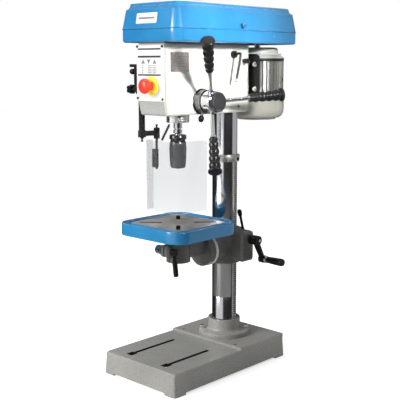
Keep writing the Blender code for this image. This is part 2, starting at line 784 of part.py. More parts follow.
def make_head():
    outline = [(-head_front, head_top), (-head_front, head_bottom + chin_height),
               (-head_front + chin_setback, head_bottom), (head_back, head_bottom), (head_back, head_top)]
    head = prism("head_casting", outline, -side, side, "head_enamel", "x", 4 * MM)
    over = head_top + 10 * MM
    under = head_bottom - 10 * MM
    cut(head,
        rod("socket", column_bore, (0, 0, under), (0, 0, column_top + GAP), None, 28),
        rod("quill_room", quill_radius + SLIDE, (0, -throat, under), (0, -throat, quill_top + 6 * MM), None,
            28),
        rod("pulley_room", 17 * MM + SLIDE, (0, -throat, quill_top), (0, -throat, over), None, 24),
        rod("feed_room", feed_radius + feed_module + 0.6 * MM, (-side - 5 * MM, feed_y, feed_z),
            (side + 5 * MM, feed_y, feed_z), None, 24),
        block("switch_room", (-side + 12 * MM, -head_front - 5 * MM, head_bottom + 55 * MM),
              (side - 12 * MM, -throat - quill_radius - 14 * MM, head_top - 30 * MM), None),
        block("core_room", (-side + 8 * MM, feed_y + feed_radius + 14 * MM, under),
              (side - 8 * MM, -column_bore - 10 * MM, head_top - 12 * MM), None),
        rod("lever_bore", 6 * MM + SLIDE, (20 * MM, lever_y, lever_z), (side + 5 * MM, lever_y, lever_z),
            None,
            20),
        rod("lock_bore", 4 * MM + SLIDE, (bar_spacing / 2, 20 * MM, bar_z), (side + 5 * MM, 20 * MM, bar_z),
            None, 16),
        rod("grub_hole", 4.5 * MM, (side - 12 * MM, 0, head_bottom + 17 * MM),
            (side + 5 * MM, 0, head_bottom + 17 * MM), None, 16))
    for hand in (-1, 1):
        x = hand * bar_spacing / 2
        cut(head, rod(f"bar_bore_{hand}", bar_radius + SLIDE, (x, lever_y + 10 * MM - 2 * MM, bar_z),
                      (x, head_back + 5 * MM, bar_z), None, 24))
    return head


def make_front():
    """The control panel, the stop button's ring and mushroom, and the plate on the side."""
    face = -head_front - GAP
    panel = block("control_panel", (-side, face - panel_thickness, head_bottom + chin_height),
                  (side, face, head_top - 6 * MM), "light_panel", 1 * MM)
    stop = Vector((8 * MM, face - panel_thickness, head_bottom + 79 * MM))
    stem = 11 * MM
    cut(panel, rod("stop_hole", stem + SLIDE, stop + Vector((0, 20 * MM, 0)),
                   stop - Vector((0, 20 * MM, 0)),
                   None))
    ring = turned("estop_ring", [
        (22 * MM, 3.5 * MM), (25 * MM, 2 * MM), (25 * MM, 0), (stem + SLIDE, 0), (stem + SLIDE, 3.5 * MM)],
        stop - Vector((0, GAP, 0)), "yellow_plastic", (0, -1, 0), 24)
    button = turned("estop_button", [
        (0, 38.5 * MM), (8 * MM, 38 * MM), (15 * MM, 36 * MM), (19 * MM, 32 * MM), (20 * MM, 27 * MM),
        (19 * MM, 21 * MM), (stem, 19 * MM), (stem, -8 * MM), (0, -8 * MM)], stop, "red_plastic",
        (0, -1, 0), 24)
    plate = block("rating_plate", (side + GAP, -throat - 78 * MM, head_bottom + 116 * MM),
                  (side + GAP + 0.8 * MM, -throat - 9.5 * MM, head_bottom + 167 * MM), "aluminium")
    return panel, ring, button, plate, stop


# ---------------------------------------------------------------- quill, spindle and chuck

def make_quill():
    collar = quill_radius + 1.5 * MM
    profile = [
        (quill_radius, quill_top), (quill_radius, head_bottom - 2 * MM), (collar, head_bottom - 2 * MM),
        (collar, quill_bottom + 1 * MM), (collar - 1 * MM, quill_bottom), (quill_seat, quill_bottom),
        (quill_seat, quill_bottom + bearing_width + 2 * MM), (quill_bore,
                                                              quill_bottom + bearing_width + 2 * MM),
        (quill_bore, quill_top - bearing_width - 2 * MM), (quill_seat, quill_top - bearing_width - 2 * MM),
        (quill_seat, quill_top)]
    quill = turned("quill", profile, (0, -throat, 0), "steel", sides=24)
    low = feed_z - 13 * MM
    high = feed_z + quill_travel + 13 * MM
    line = -throat + feed_pitch_offset
    outside = -throat + quill_radius + 5 * MM
    teeth = rack_line(feed_module, line, feed_z, low, high, 1)
    root = line - 1.1 * feed_module
    comb = [(outside, low), (root, low), *teeth, (root, high), (outside, high)]
    cut(quill, prism("quill_rack", comb, -12.5 * MM, 12.5 * MM, None, "x"))
    bearings = []
    for name, bottom, bore in (("lower_bearing", quill_bottom + 1.5 * MM, 12 * MM),
                               ("upper_bearing", quill_top - bearing_width - 1.5 * MM, spindle_radius)):
        outer = quill_seat - SLIDE
        bearings.append(turned(name, [
            (outer - 0.5 * MM, bearing_width), (outer, bearing_width - 0.5 * MM), (outer, 0.5 * MM),
            (outer - 0.5 * MM, 0), (bore + SLIDE, 0), (bore + SLIDE, bearing_width)],
            (0, -throat, bottom), "steel", sides=24))
    return quill, *bearings


def make_spindle():
    nose = chuck_top - 26 * MM
    r = spindle_radius
    profile = [
        (0, spindle_top), (r - 1 * MM, spindle_top), (r, spindle_top - 1 * MM),
        (r, quill_bottom + 25 * MM), (12 * MM, quill_bottom + 25 * MM), (12 * MM, chuck_top + 18 * MM),
        (9 * MM, chuck_top + 17 * MM), (9 * MM, chuck_top + 14 * MM), (12.5 * MM, chuck_top + 13 * MM),
        (12.5 * MM, chuck_top + 5 * MM), (8 * MM, chuck_top + 3 * MM), (7 * MM, nose), (0, nose)]
    return turned("spindle", profile, (0, -throat, 0), "chrome", sides=20)


def make_chuck():
    top, low = chuck_top, chuck_top - chuck_length
    core = 16 * MM
    room = 13.2 * MM
    body = turned("chuck_body", [
        (22 * MM, top), (23.5 * MM, top - 1.5 * MM), (23.5 * MM, top - 12 * MM), (20 * MM, top - 13.5 * MM),
        (20 * MM, top - 16 * MM), (core, top - 16 * MM), (core, low + 5 * MM),
        (core - 2.5 * MM, low + 0.5 * MM),
        (room, low + 0.5 * MM), (room, low + 53 * MM), (8.3 * MM, low + 58 * MM), (8.3 * MM, top)],
        (0, -throat, 0), "black_steel", sides=20)
    sleeve_top = top - 16 * MM - GAP
    sleeve = turned("chuck_sleeve", [
        (20.5 * MM, sleeve_top), (22 * MM, sleeve_top - 2 * MM), (23.5 * MM, sleeve_top - 22 * MM),
        (23.5 * MM, sleeve_top - 30 * MM), (22.6 * MM, sleeve_top - 32 * MM),
        (22.6 * MM, sleeve_top - 46 * MM),
        (23 * MM, sleeve_top - 48 * MM), (21 * MM, low + 8 * MM), (18.5 * MM, low), (core + GAP, low),
        (core + GAP, sleeve_top)],
        (0, -throat, 0), "black_steel", sides=20)
    jaws = []
    for k in range(3):
        out, up = jaw_slope()
        angle = math.pi / 2 + k * 2 * math.pi / 3
        away = Vector((math.cos(angle), math.sin(angle), 0))
        start = spindle_axis + away * 4.4 * MM + Vector((0, 0, low - 3 * MM))
        jaws.append(rod(f"chuck_jaw_{k + 1}", 3 * MM, start, start + (away * out + Vector((0, 0,
                                                                                           up))) * 46 * MM,
                        "steel", 12))
    return body, sleeve, jaws


def jaw_slope():
    angle = math.radians(5.5)
    return math.sin(angle), math.cos(angle)


# ---------------------------------------------------------------- feed

def make_feed():
    """The pinion shaft along X, the hub, its cap, three rods with grips, and the depth-stop ring."""
    end = 100 * MM
    left = -side - 20 * MM
    shaft = rod("feed_shaft", 10 * MM, (left, feed_y, feed_z), (end, feed_y, feed_z), "steel", 20)
    spur = prism("feed_spur", gear(feed_teeth, feed_module, feed_radius, (feed_y, feed_z), math.pi),
                 -11 * MM,
                 11 * MM, None, "x")
    join(shaft, spur)
    start = 76 * MM
    length = 33 * MM
    hub = turned("feed_hub", [
        (0, length), (24 * MM, length), (29 * MM, length - 3 * MM), (31 * MM, length - 9 * MM),
        (31 * MM, 7 * MM), (28 * MM, 0), (10 * MM + SLIDE, 0), (10 * MM + SLIDE, end - start + GAP),
        (0, end - start + GAP)], (start, feed_y, feed_z), "chrome", (1, 0, 0), 24)
    cap_start = start + length + GAP
    cap = turned("feed_cap", [
        (0, 12 * MM), (24 * MM, 12 * MM), (27.5 * MM, 9 * MM), (27.5 * MM, 1.5 * MM), (26 * MM, 0),
        (0, 0)],
        (cap_start, feed_y, feed_z), "black_plastic", (1, 0, 0), 24)
    root = Vector((spoke_root_x, feed_y, feed_z))
    spokes, grips = [], []
    for k in range(spoke_count):
        angle = spoke_tilt - k * 2 * math.pi / spoke_count
        tip = Vector((spoke_splay, -math.sin(angle) * spoke_reach, math.cos(angle) * spoke_reach))
        along = tip.normalized()
        first = root + along * 15 * MM
        last = root + along * (tip.length - 14 * MM)
        spokes.append(rod(f"feed_spoke_{k + 1}", spoke_radius, first, last, "chrome", 14))
        cut(hub, rod(f"spoke_hole_{k + 1}", spoke_radius + SLIDE, first - along * 0.3 * MM,
                     root + along * 50 * MM, None,
                     14))
        grips.append(turned(f"feed_grip_{k + 1}", grip_profile(), root + along * (tip.length - grip_length),
                            "black_plastic", along, 12))
    ring_length = start - side - 2 * GAP
    ring = turned("depth_ring", [
        (32.5 * MM, ring_length), (32.5 * MM, 6.5 * MM), (35.5 * MM, 5 * MM), (35.5 * MM, 0), (15 * MM, 0),
        (15 * MM, ring_length)], (side + GAP, feed_y, feed_z), "steel", (1, 0, 0), 28)
    x = side + 11 * MM
    down = Vector((0, -0.26, -0.966))
    centre = Vector((x, feed_y, feed_z))
    cut(ring, rod("lock_hole", 3 * MM + SLIDE, centre + down * 20 * MM, centre + down * 45 * MM, None, 16))
    lock = rod("depth_lock_screw", 3 * MM, centre + down * 24 * MM, centre + down * 40 * MM,
               "black_plastic", 16)
    join(lock, turned("lock_knob", [
        (0, 20 * MM), (4 * MM, 19 * MM), (7 * MM, 15 * MM), (8 * MM, 8 * MM), (5 * MM, 2 * MM), (5 * MM, 0),
        (0, 0)], centre + down * 37 * MM, None, down, 16))
    return shaft, hub, cap, spokes, grips, ring, lock


def grip_profile():
    """Four finger swells between a collar and a flared end, over a blind bore."""
    length = grip_length
    bore = spoke_radius + SLIDE
    flare = grip_flare
    points = [(0, length), (flare - 5 * MM, length), (flare, length - 3 * MM), (flare, length - 7 * MM),
              (flare - 4.5 * MM, length - 13 * MM)]
    swells = 4
    span = length - 13 * MM - 8 * MM
    for k in range(swells):
        for share, radius in ((0.5, flare - 3 * MM), (1.0, flare - 5 * MM)):
            points.append((radius - k * 1 * MM, length - 13 * MM - span * (k + share) / swells))
    points += [(flare - 7 * MM, 4 * MM), (flare - 8 * MM, 0), (bore, 0), (bore, length - 13 * MM),
               (0, length - 13 * MM)]
    return points


def make_return_spring():
    """The cup on the left of the head and the flat spiral spring that lifts the quill."""
    start = -side - GAP
    radius, depth = 34 * MM, 26 * MM
    cup = turned("spring_housing", [
        (0, depth), (radius - 3 * MM, depth), (radius, depth - 3 * MM), (radius, 0), (radius - 2 * MM, 0),
        (radius - 2 * MM, depth - 2 * MM), (0, depth - 2 * MM)], (start, feed_y, feed_z), "black_steel",
        (-1, 0, 0), 24)
    turns, per_turn = 3.5, 12
    count = int(turns * per_turn)
    inner_edge, outer_edge = [], []
    for k in range(count + 1):
        angle = 2 * math.pi * k / per_turn
        reach = 11.5 * MM + 18.5 * MM * k / count
        for edge, offset in ((inner_edge, 0), (outer_edge, 0.9 * MM)):
            edge.append((feed_y + (reach + offset) * math.cos(angle),
                         feed_z + (reach + offset) * math.sin(angle)))
    spring = prism("return_spring", inner_edge + outer_edge[::-1], start - 18 * MM, start - 8 * MM, "steel",
                   "x")
    return cup, spring


# ---------------------------------------------------------------- belt drive

def pulley_profile(radii, bore, hub_radius, hub_low):
    """Down the outside of the steps from the top, then the hub, and up the bore."""
    points = []
    count = len(radii)
    for k in range(count - 1, -1, -1):
        middle = step_bottom + k * step_pitch
        edge = radii[k] + step_rim
        groove = radii[k] - 5 * MM
        points += [(edge, middle + step_pitch / 2), (groove, middle + 3 * MM),
                   (groove, middle - 3 * MM), (edge, middle - step_pitch / 2)]
    bottom = step_bottom - step_pitch / 2
    points += [(hub_radius, bottom), (hub_radius, hub_low), (bore, hub_low),
               (bore, step_bottom + (count - 0.5) * step_pitch)]
    return points


def make_pulleys():
    hub_low = quill_top + 8 * MM
    driven = turned("spindle_pulley", pulley_profile(step_radii, spindle_radius + SLIDE, 17 * MM, hub_low),
                    spindle_axis, "aluminium", sides=20)
    driver = turned("motor_pulley", pulley_profile(motor_radii, motor_shaft_radius + SLIDE, 14 * MM,
                                                   step_bottom - step_pitch / 2 - 2 * MM),
                    motor_axis, "aluminium", sides=20)
    return driven, driver


def belt_path(grow):
    """The loop round both pulleys' working steps, grown outwards."""
    front = step_radii[belt_step] + grow
    back = motor_radii[belt_step] + grow
    distance = motor_y + throat
    lean = math.asin((front - back) / distance)
    points = []
    steps = 16
    for centre, radius, start, end in ((motor_y, back, -lean, math.pi + lean),
                                       (-throat, front, math.pi + lean, 2 * math.pi - lean)):
        for k in range(steps + 1):
            angle = start + (end - start) * k / steps
            points.append((radius * math.cos(angle), centre + radius * math.sin(angle)))
    return points


def make_belt():
    middle = step_bottom + belt_step * step_pitch
    low_half = belt_width / 2 - 2 * MM
    high_half = belt_width / 2
    inner = -5 * MM + belt_gap + 1.2 * MM
    outer = inner + belt_height
    rings = [level(belt_path(inner), middle - low_half), level(belt_path(inner), middle + low_half),
             level(belt_path(outer), middle + high_half), level(belt_path(outer), middle - high_half)]
    return lofted("drive_belt", rings, "rubber", closed=True)


def make_cover():
    half = cover_width / 2

    def ring(inset, height, corner=cover_corner):
        return level(rounded_rectangle((-half + inset, -cover_front + inset),
                                       (half - inset, cover_back - inset),
                                       max(corner - inset, 4 * MM), 3), height)

    wall = cover_wall
    tray_top = cover_seam - GAP
    tray = lofted("cover_tray", [
        ring(wall + 2 * MM, cover_bottom + wall), ring(wall, cover_bottom + wall + 2 * MM),
        ring(wall, tray_top), ring(0, tray_top), ring(0, cover_bottom + 2 * MM),
        ring(2 * MM, cover_bottom)],
        "blue_enamel")
    slot = motor_travel + motor_shaft_radius + 7 * MM
    cut(tray, rod("spindle_opening", 24 * MM, spindle_axis + Vector((0, 0, cover_bottom - 5 * MM)),
                  spindle_axis + Vector((0, 0, cover_bottom + 10 * MM)), None, 28),
        prism("shaft_opening", rounded_rectangle((-18 * MM, motor_y - slot), (18 * MM, motor_y + 18 * MM),
                                                 17 * MM),
              cover_bottom - 5 * MM, cover_bottom + 10 * MM, None))
    draft, step = 9 * MM, 20 * MM
    lip = cover_lip
    lid = lofted("cover_lid", [
        ring(step + 1 * MM, cover_top - wall), ring(draft + wall + 1 * MM, cover_shoulder - wall),
        ring(wall, cover_seam + 4 * MM), ring(wall, cover_seam), ring(-lip, cover_seam),
        ring(-lip, cover_seam + 3 * MM), ring(0, cover_seam + 4 * MM), ring(draft, cover_shoulder - 3 * MM),
        ring(draft + 3 * MM, cover_shoulder), ring(step - 2 * MM, cover_shoulder + 1 * MM),
        ring(step, cover_top - 2 * MM), ring(step + 2 * MM, cover_top)], "blue_enamel")
    latch_at = Vector((half, -53 * MM, cover_seam + 14 * MM))
    cut(lid, rod("latch_hole", 4 * MM + SLIDE, latch_at - Vector((20 * MM, 0, 0)),
                 latch_at + Vector((10 * MM, 0, 0)),
                 None, 16))
    latch = rod("lid_latch", 4 * MM, latch_at - Vector((16 * MM, 0, 0)), latch_at + Vector((2 * MM, 0, 0)),
                "black_plastic", 16)
    join(latch, rod("latch_head", 8 * MM, latch_at + Vector((GAP, 0, 0)), latch_at + Vector((6 * MM, 0, 0)),
                    None, 16),
         block("latch_tongue", latch_at + Vector((-16 * MM, -3 * MM, -3 * MM)),
               latch_at + Vector((-13 * MM, 3 * MM, 9 * MM)), None))
    return tray, lid, latch, latch_at


# ---------------------------------------------------------------- motor

def fin_outline():
    points = []
    for k in range(motor_fins):
        middle = 2 * math.pi * (k + 0.5) / motor_fins
        wide, narrow = 0.30 * 2 * math.pi / motor_fins, 0.16 * 2 * math.pi / motor_fins
        for radius, angle in ((motor_core, middle - wide), (motor_radius, middle - narrow),
                              (motor_radius, middle + narrow), (motor_core, middle + wide)):
            points.append((radius * math.cos(angle), motor_y + radius * math.sin(angle)))
    return points


def make_motor():
    body = prism("motor_body", fin_outline(), motor_fin_bottom, motor_fin_top, "aluminium")
    bell = turned("end_bell", [
        (0, motor_top), (56 * MM, motor_top), (62 * MM, motor_top - 3 * MM),
        (63 * MM, motor_fin_top + 8 * MM),
        (motor_radius - 1 * MM, motor_fin_top - 4 * MM), (motor_radius - 1 * MM, motor_fin_top - 10 * MM),
        (0, motor_fin_top - 10 * MM)], motor_axis, None, sides=28)
    back = plate_front + plate_thickness + GAP
    pad = block("motor_pad", (-62 * MM, back, plate_bottom + 20 * MM),
                (62 * MM, back + 40 * MM, plate_top - 22 * MM),
                None, 2 * MM)
    join(body, bell, pad)
    cut(body, rod("rotor_room", 46 * MM, (0, motor_y, motor_fin_bottom - 5 * MM),
                  (0, motor_y, motor_fin_top - 5 * MM),
                  None, 24),
        rod("shaft_bore", motor_shaft_radius + SLIDE, (0, motor_y, motor_fin_bottom),
            (0, motor_y, motor_top + 5 * MM),
            None, 16))
    outer = motor_radius + 2 * MM
    sheet = 2 * MM
    top = motor_fin_bottom - GAP
    low = motor_bottom
    cowl = turned("fan_cowl", [
        (outer - 1 * MM, top), (outer, top - 1 * MM), (outer, low + 26 * MM),
        (outer - 4 * MM, low + 13 * MM),
        (outer - 14 * MM, low + 5 * MM), (57 * MM, low + 4.5 * MM), (56 * MM, low), (18 * MM, low),
        (18 * MM, low + sheet), (54 * MM, low + sheet), (54 * MM, low + 7 * MM),
        (outer - 16 * MM, low + 7.5 * MM), (outer - 6 * MM, low + 15 * MM), (outer - sheet, low + 27 * MM),
        (outer - sheet, top)], motor_axis, "head_enamel", sides=24)
    shaft = turned("motor_shaft", [
        (0, step_bottom + 3.5 * step_pitch + 3 * MM), (motor_shaft_radius,
                                                       step_bottom + 3.5 * step_pitch + 3 * MM),
        (motor_shaft_radius, motor_fin_top - 12 * MM), (44 * MM, motor_fin_top - 12 * MM),
        (44 * MM, motor_fin_bottom + 4 * MM), (motor_shaft_radius, motor_fin_bottom + 4 * MM),
        (motor_shaft_radius, low + 22 * MM), (0, low + 22 * MM)], motor_axis, "steel", sides=20)
    blades = 8
    fan = []
    for k in range(blades):
        for radius, share in ((22 * MM, 0.0), (62 * MM, 0.12), (62 * MM, 0.3), (22 * MM, 0.42)):
            angle = 2 * math.pi * (k + share) / blades
            fan.append((radius * math.cos(angle), motor_y + radius * math.sin(angle)))
    join(shaft, prism("fan", fan, low + 26 * MM, low + 44 * MM, None))
    return body, cowl, shaft


def make_motor_plate():
    half = plate_width / 2
    outline = rounded_rectangle((-half, plate_bottom), (half, plate_top), 12 * MM, 3)
    plate = prism("motor_plate", outline, plate_front, plate_front + plate_thickness, "black_steel", "y")
    for hand in (-1, 1):
        x = hand * bar_spacing / 2
        join(plate, rod(f"slide_bar_{hand}", bar_radius, (x, -4 * MM, bar_z),
                        (x, plate_front + 4 * MM, bar_z), None,
                        24))
    left = -motor_radius - 4 * MM
    box_low = motor_fin_bottom + 20 * MM
    box = block("terminal_box", (left - 24 * MM, motor_y - 28 * MM, box_low),
                (left, motor_y + 28 * MM, box_low + 60 * MM),
                "black_plastic", 2 * MM)
    gland = (left - 12 * MM, motor_y)
    join(box, block("box_foot", (left - 4 * MM, motor_y - 18 * MM, box_low + 10 * MM),
                    (left + 3.6 * MM, motor_y + 18 * MM, box_low + 50 * MM),
                    None),
         rod("gland", 9 * MM, (*gland, box_low - 12 * MM), (*gland, box_low + 2 * MM), None, 16),
         rod("gland_nut", 10.5 * MM, (*gland, box_low - 6 * MM), (*gland, box_low - 1 * MM), None, 6))
    cut(box, rod("gland_hole", 4.5 * MM, (*gland, box_low - 25 * MM), (*gland, box_low + 25 * MM), None,
                 16))
    return plate, box


def make_tension_lever():
    axis = Vector((0, lever_y, lever_z))
    lever = rod("tension_lever", 6 * MM, axis + Vector((24 * MM, 0, 0)),
                axis + Vector((side + 12 * MM, 0, 0)),
                "black_steel", 16)
    boss = rod("lever_boss", 10 * MM, axis + Vector((side + GAP, 0, 0)),
               axis + Vector((side + 10 * MM, 0, 0)), None,
               24)
    route = smooth_path([
        axis + Vector((side + 6 * MM, 0, 0)), axis + Vector((side + 24 * MM, -1 * MM, 2 * MM)),
        axis + Vector((side + 31 * MM, -3 * MM, -5 * MM)), axis + Vector((side + 29 * MM, -17 * MM,
                                                                          -72 * MM))])
    wire = bent_rod("lever_wire", route, 3.6 * MM, None)
    tip = turned("lever_tip", [(0, 5 * MM), (3 * MM, 4.5 * MM), (4.6 * MM, 1 * MM), (4.6 * MM, -5 * MM),
                               (0, -6 * MM)],
                 route[-1], None, route[-1] - route[-3], 12)
    join(lever, boss, wire, tip)
    knob_at = Vector((side, 20 * MM, bar_z))
    lock = rod("slide_lock_knob", 4 * MM, knob_at - Vector((11.4 * MM, 0, 0)),
               knob_at + Vector((4 * MM, 0, 0)),
               "black_plastic", 16)
    join(lock, turned("slide_knob", [
        (0, 22 * MM), (5 * MM, 22 * MM), (7 * MM, 19 * MM), (7.5 * MM, 8 * MM), (6 * MM, 0), (0, 0)],
        knob_at + Vector((GAP, 0, 0)), None, (1, 0, 0), 18))
    return lever, lock


# ---------------------------------------------------------------- guard

def make_guard():
    half = post_side / 2
    low, high = head_bottom + 56 * MM, head_bottom + 80 * MM
    bracket = block("guard_bracket", (post_x - half - 5.5 * MM, post_y - half - 5.5 * MM, low),
                    (-side - GAP, post_y + half + 5.5 * MM, high), "black_steel", 1.5 * MM)
    hole = half + SLIDE
    cut(bracket, block("post_hole", (post_x - hole, post_y - hole, low - 5 * MM),
                       (post_x + hole, post_y + hole, high + 5 * MM),
                       None))
    screw_z = (low + high) / 2
    face = post_x - half
    cut(bracket, rod("guard_screw_hole", 4 * MM + SLIDE, (face - 20 * MM, post_y, screw_z),
                     (face + 2 * MM, post_y, screw_z),
                     None, 16))
    knob = rod("guard_knob", 4 * MM, (face - 0.6 * MM, post_y, screw_z), (face - 24 * MM, post_y, screw_z),
               "black_plastic", 16)
    lobes = []
    for k in range(20):
        angle = 2 * math.pi * k / 20
        radius = 12 * MM + 1.8 * MM * math.cos(5 * angle)
        lobes.append((post_y + radius * math.cos(angle), screw_z + radius * math.sin(angle)))
    join(knob, prism("knob_star", lobes, face - 43 * MM, face - 25 * MM, None, "x", 2 * MM),
         rod("knob_neck", 7 * MM, (face - 12 * MM, post_y, screw_z), (face - 31 * MM, post_y, screw_z),
             None,
             16))
    post = block("guard_post", (post_x - half, post_y - half, post_bottom),
                 (post_x + half, post_y + half, post_top),
                 "black_steel", 1 * MM)
    join(post, rod("post_spigot", 5 * MM, (post_x, post_y, post_bottom - 22 * MM),
                   (post_x, post_y, post_bottom + 3 * MM), None,
                   20))
    centre = Vector((post_x, post_y, 0))
    arm_low, arm_high = post_bottom - 19 * MM, post_bottom - GAP
    turn = guard_turn
    along = (turn - centre).normalized()
    across = Vector((-along.y, along.x, 0)) * 5 * MM
    corners = [centre - across, turn - across, turn + across, centre + across]
    arm = rod("guard_arm", 11 * MM, (post_x, post_y, arm_low), (post_x, post_y, arm_high), "black_steel",
              20)
    join(arm, prism("arm_bar", [(c.x, c.y) for c in corners], arm_low + 3 * MM, arm_high - 2 * MM, None),
         rod("arm_elbow", 8.5 * MM, (turn.x, turn.y, arm_low - 6 * MM), (turn.x, turn.y, arm_high + 5 * MM),
             None, 24),
         rod("arm_rod", 3.5 * MM, (turn.x, turn.y, shield_top - 83 * MM), (turn.x, turn.y, arm_low), None,
             16))
    cut(arm, rod("arm_bore", 5 * MM + SLIDE, (post_x, post_y, arm_low - 5 * MM),
                 (post_x, post_y, arm_high + 5 * MM), None,
                 20))
    return bracket, knob, post, arm


def make_shield():
    """The clear sheet bent round the chuck, and the stay at its top edge."""
    def path(inset):
        left, right = shield_left + inset, shield_right - inset
        front = shield_front + inset
        bend = shield_bend - inset
        points = [(left, guard_turn.y - 4.6 * MM)]
        for x, start in ((left + bend, math.pi), (right - bend, 1.5 * math.pi)):
            for k in range(6):
                angle = start + k * math.pi / 10
                points.append((x + bend * math.cos(angle), front + bend + bend * math.sin(angle)))
        points.append((right, shield_back))
        return points

    outline = path(0) + path(shield_sheet)[::-1]
    shield = prism("guard_shield", outline, shield_bottom, shield_top, "clear_sheet")
    middle = (shield_left + shield_right) / 2 + 3 * MM
    foot = Vector((middle, shield_front + 2.5 * MM, shield_top + 3.4 * MM))
    stay = rod("guard_stay", 3.2 * MM, foot, foot + Vector((-1.5 * MM, 30 * MM, 40 * MM)), "black_steel",
               16)
    return shield, stay


# ---------------------------------------------------------------- assembly

def assemble():
    make_base()
    make_flange()
    make_column()
    swing = pivot("column_swing_axis", (0, 0, 0))
    hang(swing, make_column_rack())
    carriage = pivot("table_height_axis", (0, 0, bracket_bottom), swing)
    hang(carriage, make_bracket())
    hang(pivot("pinion_axis", (pinion_x, 0, pinion_z), carriage), make_table_pinion())
    shaft, arm, grip, knee = make_crank()
    crank = pivot("crank_axis", (housing_right, crank_y, crank_z), carriage)
    hang(crank, shaft, arm)
    hang(pivot("crank_grip_axis", knee, crank), grip)
    hang(pivot("column_clamp_axis", (0, clamp_y, clamp_z), carriage), make_column_clamp())
    tilt = pivot("table_tilt_axis", (0, -tilt_face, arm_z), carriage)
    hang(tilt, make_arm())
    hang(pivot("table_turn_axis", (0, -throat, table_top), tilt), make_table())
    bolt_y, bolt_z = table_clamp_place()
    hang(pivot("table_clamp_axis", (0, bolt_y, bolt_z), tilt), make_table_clamp())
    make_head()
    _, _, button, _, stop = make_front()
    hang(pivot("stop_axis", stop), button)
    quill_axis = pivot("quill_axis", (0, -throat, quill_bottom))
    hang(quill_axis, *make_quill())
    spin = pivot("spindle_spin_axis", (0, -throat, chuck_top), quill_axis)
    body, sleeve, jaws = make_chuck()
    hang(spin, make_spindle(), body, *jaws)
    hang(pivot("chuck_sleeve_axis", (0, -throat, chuck_top - chuck_length), spin), sleeve)
    shaft, hub, cap, spokes, grips, ring, lock = make_feed()
    hang(pivot("feed_axis", (0, feed_y, feed_z)), shaft, hub, cap, *spokes, *grips)
    ring_axis = pivot("depth_ring_axis", (side, feed_y, feed_z))
    hang(ring_axis, ring, lock)
    make_return_spring()
    driven, driver = make_pulleys()
    hang(pivot("spindle_pulley_axis", spindle_axis), driven)
    make_belt()
    _, lid, latch, latch_at = make_cover()
    lid_axis = pivot("lid_axis", (-cover_width / 2 - cover_lip, 0, cover_seam))
    hang(lid_axis, lid)
    hang(pivot("lid_latch_axis", latch_at, lid_axis), latch)
    slide = pivot("motor_slide_axis", (0, plate_front, bar_z))
    body, cowl, shaft = make_motor()
    hang(slide, body, cowl, *make_motor_plate())
    hang(pivot("motor_spin_axis", motor_axis, slide), shaft, driver)
    lever, lock = make_tension_lever()
    hang(pivot("tension_lever_axis", (side, lever_y, lever_z)), lever)
    hang(pivot("slide_lock_axis", (side, 20 * MM, bar_z)), lock)
    _, knob, post, arm = make_guard()
    hang(pivot("guard_knob_axis", (post_x - post_side / 2, post_y, 788 * MM)), knob)
    guard = pivot("guard_height_axis", (post_x, post_y, post_bottom))
    hang(guard, post)
    swing = pivot("guard_swing_axis", (post_x, post_y, post_bottom - 10 * MM), guard)
    hang(swing, arm, *make_shield())


clear_scene()
parts = collection("drill_press")
guides = collection("cutters")
assemble()
bpy.context.view_layer.update()
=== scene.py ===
import math

import bmesh
import bpy
from mathutils import Matrix, Vector


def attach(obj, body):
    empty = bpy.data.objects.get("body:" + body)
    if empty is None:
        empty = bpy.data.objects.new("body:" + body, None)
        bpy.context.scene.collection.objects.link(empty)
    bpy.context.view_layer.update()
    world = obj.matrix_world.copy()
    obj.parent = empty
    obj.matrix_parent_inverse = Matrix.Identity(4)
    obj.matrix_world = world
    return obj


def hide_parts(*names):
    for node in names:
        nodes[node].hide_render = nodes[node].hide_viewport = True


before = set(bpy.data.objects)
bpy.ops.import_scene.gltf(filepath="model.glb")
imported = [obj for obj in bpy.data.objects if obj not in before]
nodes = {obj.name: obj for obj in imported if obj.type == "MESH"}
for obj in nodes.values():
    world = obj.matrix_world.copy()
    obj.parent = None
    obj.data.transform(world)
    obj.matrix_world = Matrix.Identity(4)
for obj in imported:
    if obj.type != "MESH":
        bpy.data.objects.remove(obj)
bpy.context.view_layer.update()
mm = 0.001
spindleAxis = (0, -195, 0)  # where the upright axes cross the floor, in mm
motorAxis = (0, 144, 0)
corners = [math.pi / 4 + k * math.pi / 2 for k in range(4)]  # the directions of a square's corners
print("frame loaded:", len(nodes), "nodes")


# shader tools

def newGroup(name, inputs, outputs):
    # inputs are (name, kind, default), outputs are (name, kind)
    group = bpy.data.node_groups.new(name, "ShaderNodeTree")
    for label, kind, default in inputs:
        made = group.interface.new_socket(label, in_out="INPUT", socket_type="NodeSocket" + kind)
        made.default_value = default
    for label, kind in outputs:
        group.interface.new_socket(label, in_out="OUTPUT", socket_type="NodeSocket" + kind)
    return group, group.nodes.new("NodeGroupInput"), group.nodes.new("NodeGroupOutput")


def addNode(tree, kind, links=None, **settings):
    # links maps an input's name or number to a socket or a plain value
    made = tree.nodes.new("ShaderNode" + kind)
    for key, value in settings.items():
        setattr(made, key, value)
    for key, value in (links or {}).items():
        if isinstance(value, bpy.types.NodeSocket):
            tree.links.new(value, made.inputs[key])
        else:
            made.inputs[key].default_value = value
    return made


def mixColor(tree, factor, first, second, blend="MIX"):
    mix = addNode(tree, "Mix", data_type="RGBA", blend_type=blend)
    for index, value in ((0, factor), (6, first), (7, second)):
        if isinstance(value, bpy.types.NodeSocket):
            tree.links.new(value, mix.inputs[index])
        else:
            mix.inputs[index].default_value = value
    return mix.outputs[2]


def ranged(tree, value, low, high, newLow, newHigh):
    return addNode(tree, "MapRange", {0: value, 1: low, 2: high, 3: newLow, 4: newHigh}).outputs[0]


def reckon(tree, operation, *values, clamp=False):
    return addNode(tree, "Math", dict(enumerate(values)), operation=operation, use_clamp=clamp).outputs[0]


def ownPlace(tree):
    return addNode(tree, "TexCoord").outputs["Object"]


